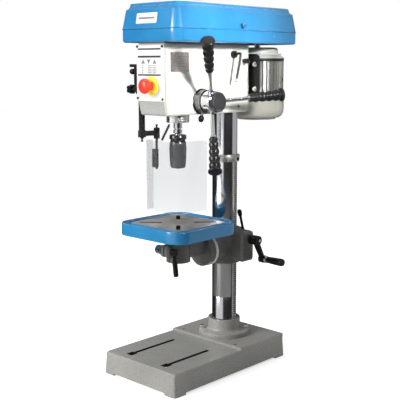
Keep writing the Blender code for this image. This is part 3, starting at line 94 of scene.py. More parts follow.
def clouds(tree, place, scale, detail, roughness=0.5):
    made = addNode(tree, "TexNoise", {"Vector": place, "Scale": scale, "Detail": detail, "Roughness": roughness})
    return made.outputs[0]


def stretched(tree, place, factors):
    return addNode(tree, "VectorMath", {0: place, 1: factors}, operation="MULTIPLY").outputs[0]


def feed(tree, target, **sockets):
    # names take an underscore where the input's own name has a space
    for name, socket in sockets.items():
        tree.links.new(socket, target.inputs[name.replace("_", " ")])


def buildEdgeWear():
    # rubbed corners: where the rounded normal parts from the face's own, broken up by noise
    tree, given, out = newGroup(
        "edgeWear",
        [("Radius", "Float", 0.0015), ("Amount", "Float", 0.5), ("Patch Scale", "Float", 60.0)],
        [("Mask", "Float")])
    soft = addNode(tree, "Bevel", {"Radius": given.outputs["Radius"]}, samples=4)
    hard = addNode(tree, "NewGeometry")
    dot = addNode(tree, "VectorMath", {0: soft.outputs[0], 1: hard.outputs["Normal"]}, operation="DOT_PRODUCT")
    turned = ranged(tree, dot.outputs["Value"], 0.97, 0.80, 0.0, 1.0)
    broken = ranged(tree, clouds(tree, ownPlace(tree), given.outputs["Patch Scale"], 5.0), 0.42, 0.62, 0.0, 1.0)
    both = reckon(tree, "MULTIPLY", turned, broken)
    feed(tree, out, Mask=reckon(tree, "MULTIPLY", both, given.outputs["Amount"], clamp=True))
    return tree


def buildHammer():
    # the pebbled pools of hammered enamel
    tree, given, out = newGroup(
        "hammerFinish",
        [("Light", "Color", (0.5, 0.5, 0.5, 1)), ("Dark", "Color", (0.3, 0.3, 0.3, 1)), ("Scale", "Float", 260.0)],
        [("Color", "Color"), ("Height", "Float"), ("Roughness", "Float")])
    place = ownPlace(tree)
    cells = addNode(tree, "TexVoronoi", {"Vector": place, "Scale": given.outputs["Scale"]}, feature="SMOOTH_F1")
    broad = clouds(tree, place, 9.0, 4.0)
    fine = clouds(tree, place, 900.0, 2.0)
    pools = ranged(tree, cells.outputs["Distance"], 0.15, 0.75, 0.0, 1.0)
    blend = reckon(tree, "MULTIPLY_ADD", pools, 0.55, ranged(tree, broad, 0.3, 0.7, 0.0, 0.4), clamp=True)
    speck = reckon(tree, "MULTIPLY_ADD", fine, 0.14, blend)
    feed(tree, out, Color=mixColor(tree, speck, given.outputs["Light"], given.outputs["Dark"]),
         Height=reckon(tree, "SUBTRACT", 1.0, pools), Roughness=ranged(tree, broad, 0.3, 0.7, 0.34, 0.5))
    return tree


def buildGrain():
    # long fine lines, as turning, milling or brushing leaves; Stretch is small along the lines
    tree, given, out = newGroup(
        "machineGrain",
        [("Stretch", "Vector", (40.0, 40.0, 900.0)), ("Low", "Float", 0.2), ("High", "Float", 0.4)],
        [("Roughness", "Float"), ("Height", "Float"), ("Shade", "Float")])
    place = ownPlace(tree)
    lines = clouds(tree, stretched(tree, place, given.outputs["Stretch"]), 1.0, 6.0, 0.65)
    both = reckon(tree, "MULTIPLY", lines, clouds(tree, place, 22.0, 4.0))
    feed(tree, out, Roughness=ranged(tree, both, 0.12, 0.42, given.outputs["Low"], given.outputs["High"]),
         Height=lines, Shade=ranged(tree, lines, 0.3, 0.7, 0.82, 1.0))
    return tree


def buildDust():
    # what settles on faces that look up, thicker in patches
    tree, given, out = newGroup("workshopDust", [("Amount", "Float", 0.2)], [("Mask", "Float")])
    normal = addNode(tree, "SeparateXYZ", {0: addNode(tree, "NewGeometry").outputs["Normal"]})
    up = ranged(tree, normal.outputs[2], 0.3, 1.0, 0.0, 1.0)
    patch = ranged(tree, clouds(tree, ownPlace(tree), 35.0, 7.0, 0.7), 0.35, 0.75, 0.2, 1.0)
    both = reckon(tree, "MULTIPLY", up, patch)
    feed(tree, out, Mask=reckon(tree, "MULTIPLY", both, given.outputs["Amount"], clamp=True))
    return tree


def buildSmudge():
    # handling marks in a gloss: soft clouds with faint fine scratches
    tree, given, out = newGroup(
        "handSmudge", [("Low", "Float", 0.1), ("High", "Float", 0.25), ("Scale", "Float", 30.0)],
        [("Roughness", "Float"), ("Height", "Float"), ("Shade", "Float")])
    place = ownPlace(tree)
    cloud = clouds(tree, place, given.outputs["Scale"], 6.0)
    scratch = clouds(tree, stretched(tree, place, (700.0, 90.0, 300.0)), 1.0, 2.0)
    both = reckon(tree, "MULTIPLY_ADD", cloud, 0.8, ranged(tree, scratch, 0.6, 0.8, 0.0, 0.3))
    feed(tree, out, Roughness=ranged(tree, both, 0.25, 0.7, given.outputs["Low"], given.outputs["High"]),
         Height=scratch, Shade=ranged(tree, cloud, 0.3, 0.7, 0.9, 1.0))
    return tree


effects = {"edgeWear": buildEdgeWear(), "hammer": buildHammer(), "grain": buildGrain(), "dust": buildDust(),
           "smudge": buildSmudge()}


def effect(tree, name, **values):
    made = tree.nodes.new("ShaderNodeGroup")
    made.node_tree = effects[name]
    for key, value in values.items():
        made.inputs[key.replace("_", " ")].default_value = value
    return made.outputs


def smudgeOf(tree, look, scale):
    return effect(tree, "smudge", Low=look["roughness"][0], High=look["roughness"][1], Scale=scale)


def startMaterial(name, roughness=0.4, metallic=0.0, **sockets):
    made = bpy.data.materials.new(name)
    made.use_nodes = True
    shader = made.node_tree.nodes["Principled BSDF"]
    for key, value in {"Roughness": roughness, "Metallic": metallic, **sockets}.items():
        shader.inputs[key.replace("_", " ")].default_value = value
    return made, made.node_tree, shader


def bumpFrom(tree, height, distance):
    return addNode(tree, "Bump", {"Height": height, "Distance": distance, "Strength": 1.0}).outputs[0]


def solid(color, factor=1.0):
    return (*(v * factor for v in color), 1)


def wornAndDusty(tree, color, wear, dust, bare, grime):
    # bare shows where the edges are rubbed, and grime lies over it all
    rubbed = mixColor(tree, wear["Mask"], color, solid(bare))
    return mixColor(tree, effect(tree, "dust", Amount=dust)["Mask"], rubbed, solid(grime))


def hammeredPaint(name, look):
    made, tree, shader = startMaterial(name, Coat_Weight=0.25, Coat_Roughness=0.25)
    paint = effect(tree, "hammer", Light=solid(look["light"]), Dark=solid(look["dark"]), Scale=look["scale"])
    wear = effect(tree, "edgeWear", Radius=look["wearRadius"], Amount=look["wear"])
    feed(tree, shader, Roughness=paint["Roughness"], Normal=bumpFrom(tree, paint["Height"], look["depth"]),
         Base_Color=wornAndDusty(tree, paint["Color"], wear, look["dust"], (0.5, 0.5, 0.48), (0.5, 0.48, 0.44)))
    return made


def glossPaint(name, look):
    made, tree, shader = startMaterial(name, Coat_Weight=0.6, Coat_Roughness=0.08)
    wear = effect(tree, "edgeWear", Radius=0.001, Amount=look["wear"])
    place = ownPlace(tree)
    patchy = ranged(tree, clouds(tree, place, 6.0, 3.0), 0.35, 0.65, 0.0, 1.0)
    tone = mixColor(tree, patchy, solid(look["color"]), solid(look["deep"]))
    feed(tree, shader, Roughness=smudgeOf(tree, look, 18.0)["Roughness"],
         Normal=bumpFrom(tree, clouds(tree, place, 170.0, 2.0), 0.00006),
         Base_Color=wornAndDusty(tree, tone, wear, look["dust"], (0.45, 0.55, 0.65), (0.55, 0.58, 0.62)))
    return made


def barePolish(name, look):
    # plated or machined metal
    made, tree, shader = startMaterial(name, metallic=1.0)
    if look.get("stretch"):
        marks = effect(tree, "grain", Stretch=look["stretch"], Low=look["roughness"][0], High=look["roughness"][1])
    else:
        marks = smudgeOf(tree, look, 40.0)
    shade = mixColor(tree, marks["Shade"], solid(look["color"], look.get("dim", 0.7)), solid(look["color"]))
    dust = effect(tree, "dust", Amount=look.get("dust", 0.05))
    feed(tree, shader, Base_Color=mixColor(tree, dust["Mask"], shade, (0.35, 0.33, 0.3, 1)),
         Roughness=marks["Roughness"], Normal=bumpFrom(tree, marks["Height"], look.get("depth", 0.00002)))
    return made


def moulded(name, look):
    # plastic, rubber and black painted steel: fine pebble, paler rubbed edges
    made, tree, shader = startMaterial(
        name, metallic=look.get("metallic", 0.0), Specular_IOR_Level=look.get("specular", 0.35))
    pebble = addNode(tree, "TexVoronoi", {"Vector": ownPlace(tree), "Scale": look["scale"]}, feature="SMOOTH_F1")
    marks = smudgeOf(tree, look, 35.0)
    wear = effect(tree, "edgeWear", Radius=0.0008, Amount=look["wear"], Patch_Scale=90.0)
    cloudy = mixColor(tree, marks["Shade"], solid(look["color"], 0.6), solid(look["color"]))
    feed(tree, shader, Roughness=marks["Roughness"],
         Normal=bumpFrom(tree, pebble.outputs["Distance"], look["depth"]),
         Base_Color=wornAndDusty(tree, cloudy, wear, look.get("dust", 0.025), look["edge"], (0.3, 0.29, 0.27)))
    return made


def crossKnurl(name, look):
    # a diamond knurl pressed into the end face of the hub's cap, with painted shade in its hollows and a painted
    # highlight on its crests
    made, tree, shader = startMaterial(name, roughness=look["roughness"])
    place = addNode(tree, "SeparateXYZ", {0: ownPlace(tree)})
    waves = []
    for sign in (1.0, -1.0):
        lean = reckon(tree, "MULTIPLY_ADD", place.outputs[0], sign, place.outputs[1])
        waves.append(reckon(tree, "SINE", reckon(tree, "MULTIPLY", lean, 2 * math.pi / look["pitch"])))
    low = reckon(tree, "MINIMUM", *waves)
    shade = ranged(tree, low, -0.6, 0.6, 0.0, 1.0)
    feed(tree, shader, Normal=bumpFrom(tree, low, look["depth"]),
         Base_Color=mixColor(tree, shade, solid(look["hollowShade"]), solid(look["crestHighlight"])))
    return made


def printedInk(name, color):
    made, tree, shader = startMaterial(name, roughness=0.5)
    grain = clouds(tree, ownPlace(tree), 700.0, 3.0)
    strong = (*(min(1, v * 1.2 + 0.01) for v in color), 1)
    feed(tree, shader, Base_Color=mixColor(tree, grain, solid(color, 0.8), strong),
         Roughness=ranged(tree, grain, 0.3, 0.7, 0.4, 0.6))
    return made


def clearPlastic(name, look):
    made, tree, shader = startMaterial(
        name, Transmission_Weight=look["clear"], IOR=look["bending"], Base_Color=solid(look["tint"]))
    marks = smudgeOf(tree, look, 14.0)
    feed(tree, shader, Roughness=marks["Roughness"], Normal=bumpFrom(tree, marks["Height"], 0.000004))
    return made


finishLooks = (
    (hammeredPaint, {
        "headEnamel": {"light": (0.56, 0.56, 0.51), "dark": (0.38, 0.38, 0.34), "scale": 300.0,
            "depth": 0.00012, "wear": 0.35, "wearRadius": 0.0015, "dust": 0.06},
        # painted shade: a darker copy of the head enamel for the head's faces that look to the front
        "chinEnamel": {"light": (0.44, 0.44, 0.42), "dark": (0.31, 0.31, 0.29), "scale": 300.0,
            "depth": 0.0001, "wear": 0.3, "wearRadius": 0.0015, "dust": 0.05},
        "castEnamel": {"light": (0.42, 0.415, 0.39), "dark": (0.25, 0.247, 0.228), "scale": 260.0,
            "depth": 0.00016, "wear": 0.5, "wearRadius": 0.002, "dust": 0.1},
        "armEnamel": {"light": (0.14, 0.138, 0.125), "dark": (0.075, 0.073, 0.065), "scale": 280.0,
            "depth": 0.00014, "wear": 0.5, "wearRadius": 0.002, "dust": 0.1},
    }),
    (glossPaint, {
        "blueEnamel": {"color": (0.022, 0.215, 0.44), "deep": (0.014, 0.17, 0.38), "roughness": (0.16, 0.3),
            "wear": 0.4, "dust": 0.05},
        "cowlEnamel": {"color": (0.34, 0.337, 0.29), "deep": (0.28, 0.277, 0.24), "roughness": (0.26, 0.38),
            "wear": 0.3, "dust": 0.06},
        "panelSheet": {"color": (0.66, 0.66, 0.65), "deep": (0.6, 0.6, 0.59), "roughness": (0.35, 0.5),
            "wear": 0.2, "dust": 0.05},
    }),
    (barePolish, {
        "chrome": {"color": (0.82, 0.82, 0.84), "roughness": (0.05, 0.14), "dim": 0.85},
        "columnChrome": {"color": (0.7, 0.7, 0.72), "roughness": (0.08, 0.2), "stretch": (60.0, 60.0, 1100.0),
            "dim": 0.8},
        "rackSteel": {"color": (0.42, 0.41, 0.39), "roughness": (0.3, 0.5), "stretch": (300.0, 60.0, 300.0),
            "dust": 0.15},
        "brightSteel": {"color": (0.7, 0.7, 0.69), "roughness": (0.2, 0.36), "stretch": (300.0, 300.0, 300.0)},
        "groundTop": {"color": (0.95, 0.93, 0.9), "roughness": (0.3, 0.5), "stretch": (900.0, 30.0, 60.0),
            "dust": 0.08, "depth": 0.00003},
        "castAluminium": {"color": (0.5, 0.495, 0.475), "roughness": (0.24, 0.4),
            "stretch": (500.0, 500.0, 200.0), "dust": 0.06},
        "darkSteel": {"color": (0.2, 0.2, 0.205), "roughness": (0.22, 0.36), "stretch": (300.0, 300.0, 300.0)},
        "rackShadow": {"color": (0.1, 0.097, 0.09), "roughness": (0.5, 0.7), "stretch": (300.0, 60.0, 300.0),
            "dust": 0.1},
    }),
    (moulded, {
        "blackPlastic": {"color": (0.006, 0.006, 0.0065), "edge": (0.05, 0.05, 0.05),
            "roughness": (0.22, 0.36), "scale": 900.0, "depth": 0.00004, "wear": 0.35},
        "blackSteel": {"color": (0.009, 0.009, 0.009), "edge": (0.16, 0.155, 0.15), "roughness": (0.3, 0.48),
            "scale": 700.0, "depth": 0.00005, "wear": 0.6, "metallic": 0.3},
        "chuckBlack": {"color": (0.012, 0.012, 0.014), "edge": (0.25, 0.25, 0.25), "roughness": (0.14, 0.24),
            "scale": 1200.0, "depth": 0.00002, "wear": 0.3, "specular": 0.4},
        "redPlastic": {"color": (0.75, 0.045, 0.025), "edge": (0.85, 0.2, 0.15), "roughness": (0.14, 0.26),
            "scale": 600.0, "depth": 0.00002, "wear": 0.3},
        "yellowPlastic": {"color": (0.82, 0.68, 0.05), "edge": (0.9, 0.8, 0.35), "roughness": (0.3, 0.42),
            "scale": 800.0, "depth": 0.00003, "wear": 0.3},
        "beltRubber": {"color": (0.02, 0.02, 0.02), "edge": (0.06, 0.06, 0.06), "roughness": (0.6, 0.8),
            "scale": 500.0, "depth": 0.0001, "wear": 0.4},
        "slotShade": {"color": (0.02, 0.02, 0.02), "edge": (0.05, 0.05, 0.05), "roughness": (0.6, 0.8),
            "scale": 300.0, "depth": 0.0001, "wear": 0.2, "dust": 0.02},
    }),
    (crossKnurl, {
        # painted shade in the knurl's hollows, painted highlight on its crests
        "capKnurl": {"pitch": 0.0055, "depth": 0.0006, "roughness": 0.35, "hollowShade": (0.004, 0.004, 0.005),
            "crestHighlight": (0.05, 0.05, 0.055)},
    }),
    (clearPlastic, {
        "clearSheet": {"tint": (0.78, 0.79, 0.795), "clear": 0.97, "bending": 1.2, "roughness": (0.03, 0.08)},
    }),
    (printedInk, {
        # black print, also used as painted shade for the chuck's key holes
        "blackInk": (0.012, 0.012, 0.013),
        "greyInk": (0.16, 0.16, 0.17),
        "redInk": (0.32, 0.09, 0.1),
        "whitePrint": (0.72, 0.72, 0.72),
    }),
)
finishes = {name: make(name, look) for make, looks in finishLooks for name, look in looks.items()}
print("materials made:", len(finishes))


# mesh tools


def finishPiece(piece, finish, body, *replaced, slot=None, bevel=0, smoothAngle=35):
    # replaced names the CAD nodes that the piece stands for; bevel is in mm
    piece.data.shade_smooth()
    piece.data.set_sharp_from_angle(angle=math.radians(smoothAngle))
    piece.data.materials.append(finishes[finish])
    if bevel:
        softenEdges(piece, bevel * mm)
    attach(piece, body)
    if replaced:
        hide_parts(*replaced)
    return piece


def softenEdges(piece, width, segments=3):
    edge = piece.modifiers.new("softEdges", "BEVEL")
    edge.width = width
    edge.segments = segments
    edge.limit_method = "ANGLE"
    edge.angle_limit = math.radians(35)
    edge.harden_normals = True


def makeObject(name, shape, at=(0, 0, 0), axis=None):
    # at is in mm, and axis is where the shape's own z axis points
    mesh = bpy.data.meshes.new(name)
    bmesh.ops.recalc_face_normals(shape, faces=shape.faces)
    shape.to_mesh(mesh)
    shape.free()
    piece = bpy.data.objects.new(name, mesh)
    piece.location = Vector(at) * mm
    if axis is not None:
        piece.rotation_mode = "QUATERNION"
        piece.rotation_quaternion = Vector((0, 0, 1)).rotation_difference(Vector(axis))
    bpy.context.scene.collection.objects.link(piece)
    return piece


def bridge(shape, loops):
    # joins each ring of vertices to the next
    for first, second in zip(loops, loops[1:]):
        for k in range(len(first)):
            after = (k + 1) % len(first)
            shape.faces.new((first[k], first[after], second[after], second[k]))


def lathe(name, profile, at, axis=(0, 0, 1), steps=96, flute=None):
    # profile is (radius, height) in mm; flute is (count, depth, lowHeight, highHeight) in mm
    shape = bmesh.new()
    rings = []
    for radius, height in profile:
        if radius <= 0:
            rings.append([shape.verts.new((0, 0, height * mm))])
            continue
        ring = []
        for k in range(steps):
            angle = 2 * math.pi * k / steps
            reach = radius
            if flute and flute[2] <= height <= flute[3]:
                reach -= flute[1] * (0.5 + 0.5 * math.cos(angle * flute[0]))
            ring.append(shape.verts.new(Vector((reach * math.cos(angle), reach * math.sin(angle), height)) * mm))
        rings.append(ring)
    pairs = list(zip(rings, rings[1:]))
    if len(rings[0]) > 1 and len(rings[-1]) > 1:
        pairs.append((rings[-1], rings[0]))
    for first, second in pairs:
        for k in range(steps):
            after = (k + 1) % steps
            if len(first) == 1 and len(second) > 1:
                shape.faces.new((first[0], second[k], second[after]))
            elif len(second) == 1 and len(first) > 1:
                shape.faces.new((first[k], first[after], second[0]))
            elif len(first) > 1:
                shape.faces.new((first[k], first[after], second[after], second[k]))
    return makeObject(name, shape, at, axis)


def loft(name, rings, closed=False):
    shape = bmesh.new()
    loops = [[shape.verts.new(point) for point in ring] for ring in rings]
    bridge(shape, loops + [loops[0]] if closed else loops)
    if not closed:
        shape.faces.new(loops[0])
        shape.faces.new(loops[-1])
    return makeObject(name, shape)


def roundedRing(low, high, corner, height, steps=10):
    # the outline of a rounded rectangle at one height, in mm
    centres = ((high[0] - corner, high[1] - corner), (low[0] + corner, high[1] - corner),
               (low[0] + corner, low[1] + corner), (high[0] - corner, low[1] + corner))
    points = []
    for quarter, (x, y) in enumerate(centres):
        for step in range(steps + 1):
            angle = (quarter + step / steps) * math.pi / 2
            points.append(Vector((x + corner * math.cos(angle), y + corner * math.sin(angle), height)) * mm)
    return points


def sweep(name, points, radii, sides=20, flatten=1.0):
    # a bar along points in mm, with a radius at each, oval by flatten
    points = [Vector(point) * mm for point in points]
    shape = bmesh.new()
    rings = []
    side = None
    for k, point in enumerate(points):
        along = (points[min(k + 1, len(points) - 1)] - points[max(k - 1, 0)]).normalized()
        if side is None:
            side = along.orthogonal().normalized() if abs(along.x) > 0.9 else Vector((1, 0, 0))
        side = (side - along * side.dot(along)).normalized()
        other = along.cross(side)
        radius = radii[k] * mm if isinstance(radii, (list, tuple)) else radii * mm
        rings.append([shape.verts.new(point + side * radius * flatten * math.cos(2 * math.pi * j / sides)
                                      + other * radius * math.sin(2 * math.pi * j / sides)) for j in range(sides)])
    bridge(shape, rings)
    shape.faces.new(rings[0])
    shape.faces.new(rings[-1])
    return makeObject(name, shape)


def curvedPath(knots, perSpan=8):
    knots = [Vector(knot) for knot in knots]
    ends = [2 * knots[0] - knots[1], *knots, 2 * knots[-1] - knots[-2]]
    path = []
    for k in range(1, len(ends) - 2):
        a, b, c, d = ends[k - 1:k + 3]
        for step in range(perSpan):
            t = step / perSpan
            path.append(0.5 * (2 * b + (c - a) * t + (2 * a - 5 * b + 4 * c - d) * t**2
                               + (3 * b - a - 3 * c + d) * t**3))
    path.append(knots[-1])
    return path


def addBox(shape, centre, size, turn=None):
    # a box in mm, joined to a mesh that holds many
    matrix = Matrix.Translation(Vector(centre) * mm)
    if turn is not None:
        matrix = matrix @ turn.to_4x4()
    matrix = matrix @ Matrix.Diagonal((*(Vector(size) * mm), 1))
    bmesh.ops.create_cube(shape, size=1, matrix=matrix)


def hexHead(name, centre, axis, acrossFlats, height, washer, finish, body, slot=None):
    # a chamfered hexagon head on a round washer
    corner, washerThickness, steps = acrossFlats / math.sqrt(3), 1.4, 48
    shape = bmesh.new()
    loops = []
    for radius, level in ((washer, 0.0), (washer, washerThickness), (corner, 1.8), (corner, height - 1.2),
                          (corner * 0.86, height)):
        ring = []
        for k in range(steps):
            angle = 2 * math.pi * k / steps
            reach = radius
            if level > washerThickness:
                wedge = (angle + math.pi / 6) % (math.pi / 3) - math.pi / 6
                reach = min(acrossFlats / 2 / math.cos(wedge), radius)
            ring.append(shape.verts.new(Vector((reach * math.cos(angle), reach * math.sin(angle), level)) * mm))
        loops.append(ring)
    bridge(shape, loops)
    shape.faces.new(loops[0])
    shape.faces.new(loops[-1])
    return finishPiece(makeObject(name, shape, centre, axis), finish, body, slot=slot, smoothAngle=25)


def panScrew(name, centre, axis, radius, finish, body, slot=None):
    # a domed screw head with a round socket sunk in it
    profile = [(0, 0.6), (radius * 0.42, 0.6), (radius * 0.5, radius * 0.75), (radius * 0.8, radius * 0.62),
               (radius, radius * 0.25), (radius, 0), (0, 0)]
    return finishPiece(lathe(name, profile, centre, axis, 36), finish, body, slot=slot)


def carve(piece, *cutters):
    for cutter in cutters:
        cut = piece.modifiers.new("carve", "BOOLEAN")
        cut.operation = "DIFFERENCE"
        cut.solver = "EXACT"
        cut.object = cutter
    graph = bpy.context.evaluated_depsgraph_get()
    made = bpy.data.meshes.new_from_object(piece.evaluated_get(graph))
    piece.modifiers.clear()
    piece.data = made
    for cutter in cutters:
        bpy.data.objects.remove(cutter)
    return piece


def boxObject(name, low, high):
    shape = bmesh.new()
    low, high = Vector(low), Vector(high)
    addBox(shape, (low + high) / 2, high - low)
    return makeObject(name, shape)


# kept nodes: finer finishes and softened edges on the CAD shapes

keptFinishes = {
    "base_casting": ("castEnamel", 1.6), "head_casting": ("headEnamel", 1.4), "control_panel": ("panelSheet", 0.5),
    "rating_plate": ("castAluminium", 0.2), "return_spring": ("brightSteel", 0),
    "guard_bracket": ("blackSteel", 0.8),
    "drive_belt": ("beltRubber", 0.5), "column_rack": ("rackSteel", 0.25), "table_bracket": ("armEnamel", 1.4),
    "table_pinion": ("rackSteel", 0), "crank_shaft": ("brightSteel", 0), "column_clamp_lever": ("blackSteel", 0.6),
    "table_arm": ("armEnamel", 1.2), "table_clamp_lever": ("blackSteel", 0.6), "quill": ("brightSteel", 0),
    "lower_bearing": ("brightSteel", 0), "upper_bearing": ("brightSteel", 0), "spindle": ("chrome", 0),
    "chuck_jaw_1": ("brightSteel", 0.3), "chuck_jaw_2": ("brightSteel", 0.3), "chuck_jaw_3": ("brightSteel", 0.3),
    "feed_shaft": ("brightSteel", 0), "lid_latch": ("blackPlastic", 0.5), "motor_plate": ("blackSteel", 1.0),
    "motor_shaft": ("brightSteel", 0), "terminal_box": ("blackPlastic", 1.2), "tension_lever": ("blackSteel", 0.4),
    "slide_lock_knob": ("blackPlastic", 0.6), "guard_knob": ("blackPlastic", 0.8),
    "guard_post": ("blackSteel", 0.9),
    "guard_arm": ("blackSteel", 0.6), "guard_stay": ("blackSteel", 0.4), "spring_housing": ("blackSteel", 0.8),
}
for nodeName, (finish, bevel) in keptFinishes.items():  # the second value is the width of the softened edges in mm
    shown = nodes[nodeName]
    shown.data.shade_smooth()
    shown.data.set_sharp_from_angle(angle=math.radians(32))
    shown.data.materials.clear()
    shown.data.materials.append(finishes[finish])
    if bevel:
        softenEdges(shown, bevel * mm, 2)


def paintFaces(name, finish, test):
    # the faces whose centre and normal (mm) pass the test take another finish
    mesh = nodes[name].data
    mesh.materials.append(finishes[finish])
    index = len(mesh.materials) - 1
    for face in mesh.polygons:
        if test(face.center / mm, face.normal):
            face.material_index = index


paintFaces("table_arm", "groundTop", lambda c, n: c.y > -106 and abs(n.y) < 0.5 and c.z < 312)
paintFaces("table_clamp_lever", "chrome", lambda c, n: c.x < -17)
paintFaces("tension_lever", "brightSteel", lambda c, n: c.z < 838)
paintFaces("motor_plate", "brightSteel", lambda c, n: c.y < 54.5)
# painted shade: the head's front-facing faces take the darker copy of its enamel
paintFaces("head_casting", "chinEnamel", lambda c, n: n.y < -0.6)
paintFaces("column_rack", "rackShadow", lambda c, n: abs(n.z) > 0.6)
paintFaces("base_casting", "slotShade", lambda c,
           n: 30 < c.z < 63.4 and abs(abs(c.x) - 69) < 14 and -330 < c.y < -140)
paintFaces("lid_latch", "blueEnamel", lambda c, n: c.x > 112)
print("kept nodes finished:", len(keptFinishes))


# base, flange and column

standLook = {
    "flangeRadius": 76, "neckRadius": 48.1, "boltCircle": 66, "boltFlats": 13, "scribedAt": 187,
    "columnRadius": 36.5, "collarScrew": 5.0,
}


def makeStand():
    r, neck = standLook["flangeRadius"], standLook["neckRadius"]
    finishPiece(lathe("columnFlange", [
        (36.9, 76.5), (36.9, 112), (44.8, 112), (44.8, 119.3), (neck - 0.8, 119.3), (neck, 118.5), (neck, 90),
        (neck + 0.8, 87), (neck + 2.4, 84.6), (neck + 5, 83.4), (r - 2, 83.3), (r - 0.6, 82.8), (r, 81.5),
        (r, 72.3), (20, 72.3), (20, 76.5)], (0, 0, 0)), "castEnamel", "stand", "column_flange")
    for k, angle in enumerate(corners[:3]):
        place = (standLook["boltCircle"] * math.cos(angle), standLook["boltCircle"] * math.sin(angle), 83.4)
        hexHead(f"flangeBolt{k}", place, (0, 0, 1), standLook["boltFlats"], 9, 8.6, "brightSteel", "stand")
    c, mark = standLook["columnRadius"], standLook["scribedAt"]
    finishPiece(lathe("columnTube", [
        (c, 866.6), (c, mark + 0.9), (c - 0.35, mark + 0.4), (c - 0.35, mark - 0.4), (c, mark - 0.9), (c, 76.8),
        (31, 76.8), (31, 866.6)], (0, 0, 0), steps=160), "columnChrome", "stand", "column", smoothAngle=50)
    finishPiece(lathe("rackCollar", [
        (36.8, 592.1), (41.2, 592.1), (42.6, 593.2), (44, 609.5), (43.6, 611.2), (42.4, 612), (36.8, 612)],
        (0, 0, 0)), "castAluminium", "stand", "rack_collar")
    finishPiece(boxObject("collarEar", (41, -6, 595), (50, 6, 609)), "castAluminium", "stand", bevel=1.5)
    panScrew("collarScrew", (50, 0, 602), (1, 0, 0), standLook["collarScrew"], "blackSteel", "stand")


makeStand()
print("flange, column and collar made")


# head: printed panel, stop button, side plate and small fixings

panelLook = {
    "face": -298.3, "bars": ((912.2, 4.2), (892.4, 5.2), (844.5, 4)), "barSpan": (-46, 41), "iconRow": 879.5,
    "iconXs": (-26, -4.5, 18), "iconSize": 15, "tickRows": (869, 864.4, 859.8, 855.2, 850.6),
    "tickColumns": ((-32, 8, 1), (-8, 15, 3), (10, 16, 3)), "screwRadius": 3.6,
    "screwsAt": ((-48.5, 919), (47, 918.5), (-47.5, 783), (48, 781.5)),
    "stopAt": (8, 816), "ringRadius": 25, "capRadius": 20,
}


def printShapes(name, finish, body, fill, slot=None):
    # one mesh for all that is printed in one ink; fill adds its shapes
    shape = bmesh.new()
    fill(shape)
    finishPiece(makeObject(name, shape), finish, body, slot=slot)


def makePanel():
    face = panelLook["face"] - 0.1
    left, right = panelLook["barSpan"]

    def bars(shape):
        for z, tall in panelLook["bars"]:
            addBox(shape, ((left + right) / 2, face, z), (right - left, 0.3, tall))

    def icons(shape):
        size = panelLook["iconSize"]
        for k, x in enumerate(panelLook["iconXs"]):
            up = 1 if k != 1 else -1
            z = panelLook["iconRow"]
            outer = [(x - size / 2, z - up * size * 0.36), (x + size / 2, z - up * size * 0.36),
                     (x, z + up * size * 0.4)]
            loops = [[shape.verts.new(Vector((px, depth, pz)) * mm) for px, pz in outer]
                     for depth in (face + 0.2, face - 0.15)]
            for j in range(3):
                after = (j + 1) % 3
                shape.faces.new((loops[0][j], loops[0][after], loops[1][after], loops[1][j]))
            shape.faces.new(loops[0])
            shape.faces.new(loops[1])

    def ticks(shape):
        for row, z in enumerate(panelLook["tickRows"]):
            for x, wide, count in panelLook["tickColumns"]:
                for k in range(count):
                    long = wide / count * (0.55 + 0.2 * ((row * 3 + k) % 2))
                    addBox(shape, (x + wide * (k + 0.5) / count, face, z), (long, 0.3, 2.4))

    printShapes("panelBars", "blackInk", "stand", bars)
    printShapes("panelIcons", "greyInk", "stand", icons)
    printShapes("panelTicks", "greyInk", "stand", ticks)
    for k, (x, z) in enumerate(panelLook["screwsAt"]):
        panScrew(f"panelScrew{k}", (x, face + 0.1, z), (0, -1, 0), panelLook["screwRadius"], "blackSteel", "stand")
    x, z = panelLook["stopAt"]
    r = panelLook["ringRadius"]
    finishPiece(lathe("stopRing", [
        (11.4, 0), (r, 0), (r, 1.6), (r - 0.6, 2.6), (r - 3, 3.6), (20.5, 3.9), (19.5, 5.2), (16.5, 5.5),
        (11.4, 5.5)],
        (x, -298.6, z), (0, -1, 0)), "yellowPlastic", "stand", "estop_ring")
    c = panelLook["capRadius"]
    finishPiece(lathe("stopButton", [
        (0, 38.4), (5, 38.3), (9.5, 37.7), (13.5, 36.5), (16.8, 34.4), (19, 31.5), (c, 28.4), (c, 26.4), (19.4, 23),
        (18.4, 20.8), (17, 19.6), (14.5, 19), (11, 18.8), (11, -7.8), (0, -7.8)], (x, -298.3, z), (0, -1, 0)),
        "redPlastic", "stop_button", "estop_button", smoothAngle=60)


plateLook = {
    "face": 53.15, "frame": ((-271.5, -206, 856, 856.8), (-271.5, -206, 900.6, 901.4), (-271.5, -270.7, 856, 901.4),
                             (-206.8, -206, 856, 901.4)),
    "rows": ((898, ((-266, 22), (-236, 30))), (893, ((-266, 12), (-248, 44))), (888.5, ((-262, 52),)),
             (884, ((-266, 18), (-242, 26))), (879.5, ((-262, 44),)), (875, ((-262, 48),)), (870.5, ((-264, 34),)),
             (866, ((-262, 50),)), (860.5, ((-262, 28),))),
    "dashPitch": 5, "dash": (0.25, 3.4, 1.3), "rivets": ((-270.5, 901.8), (-207, 901.8), (-270.5, 855.2),
                                                         (-207, 855.2)),
}


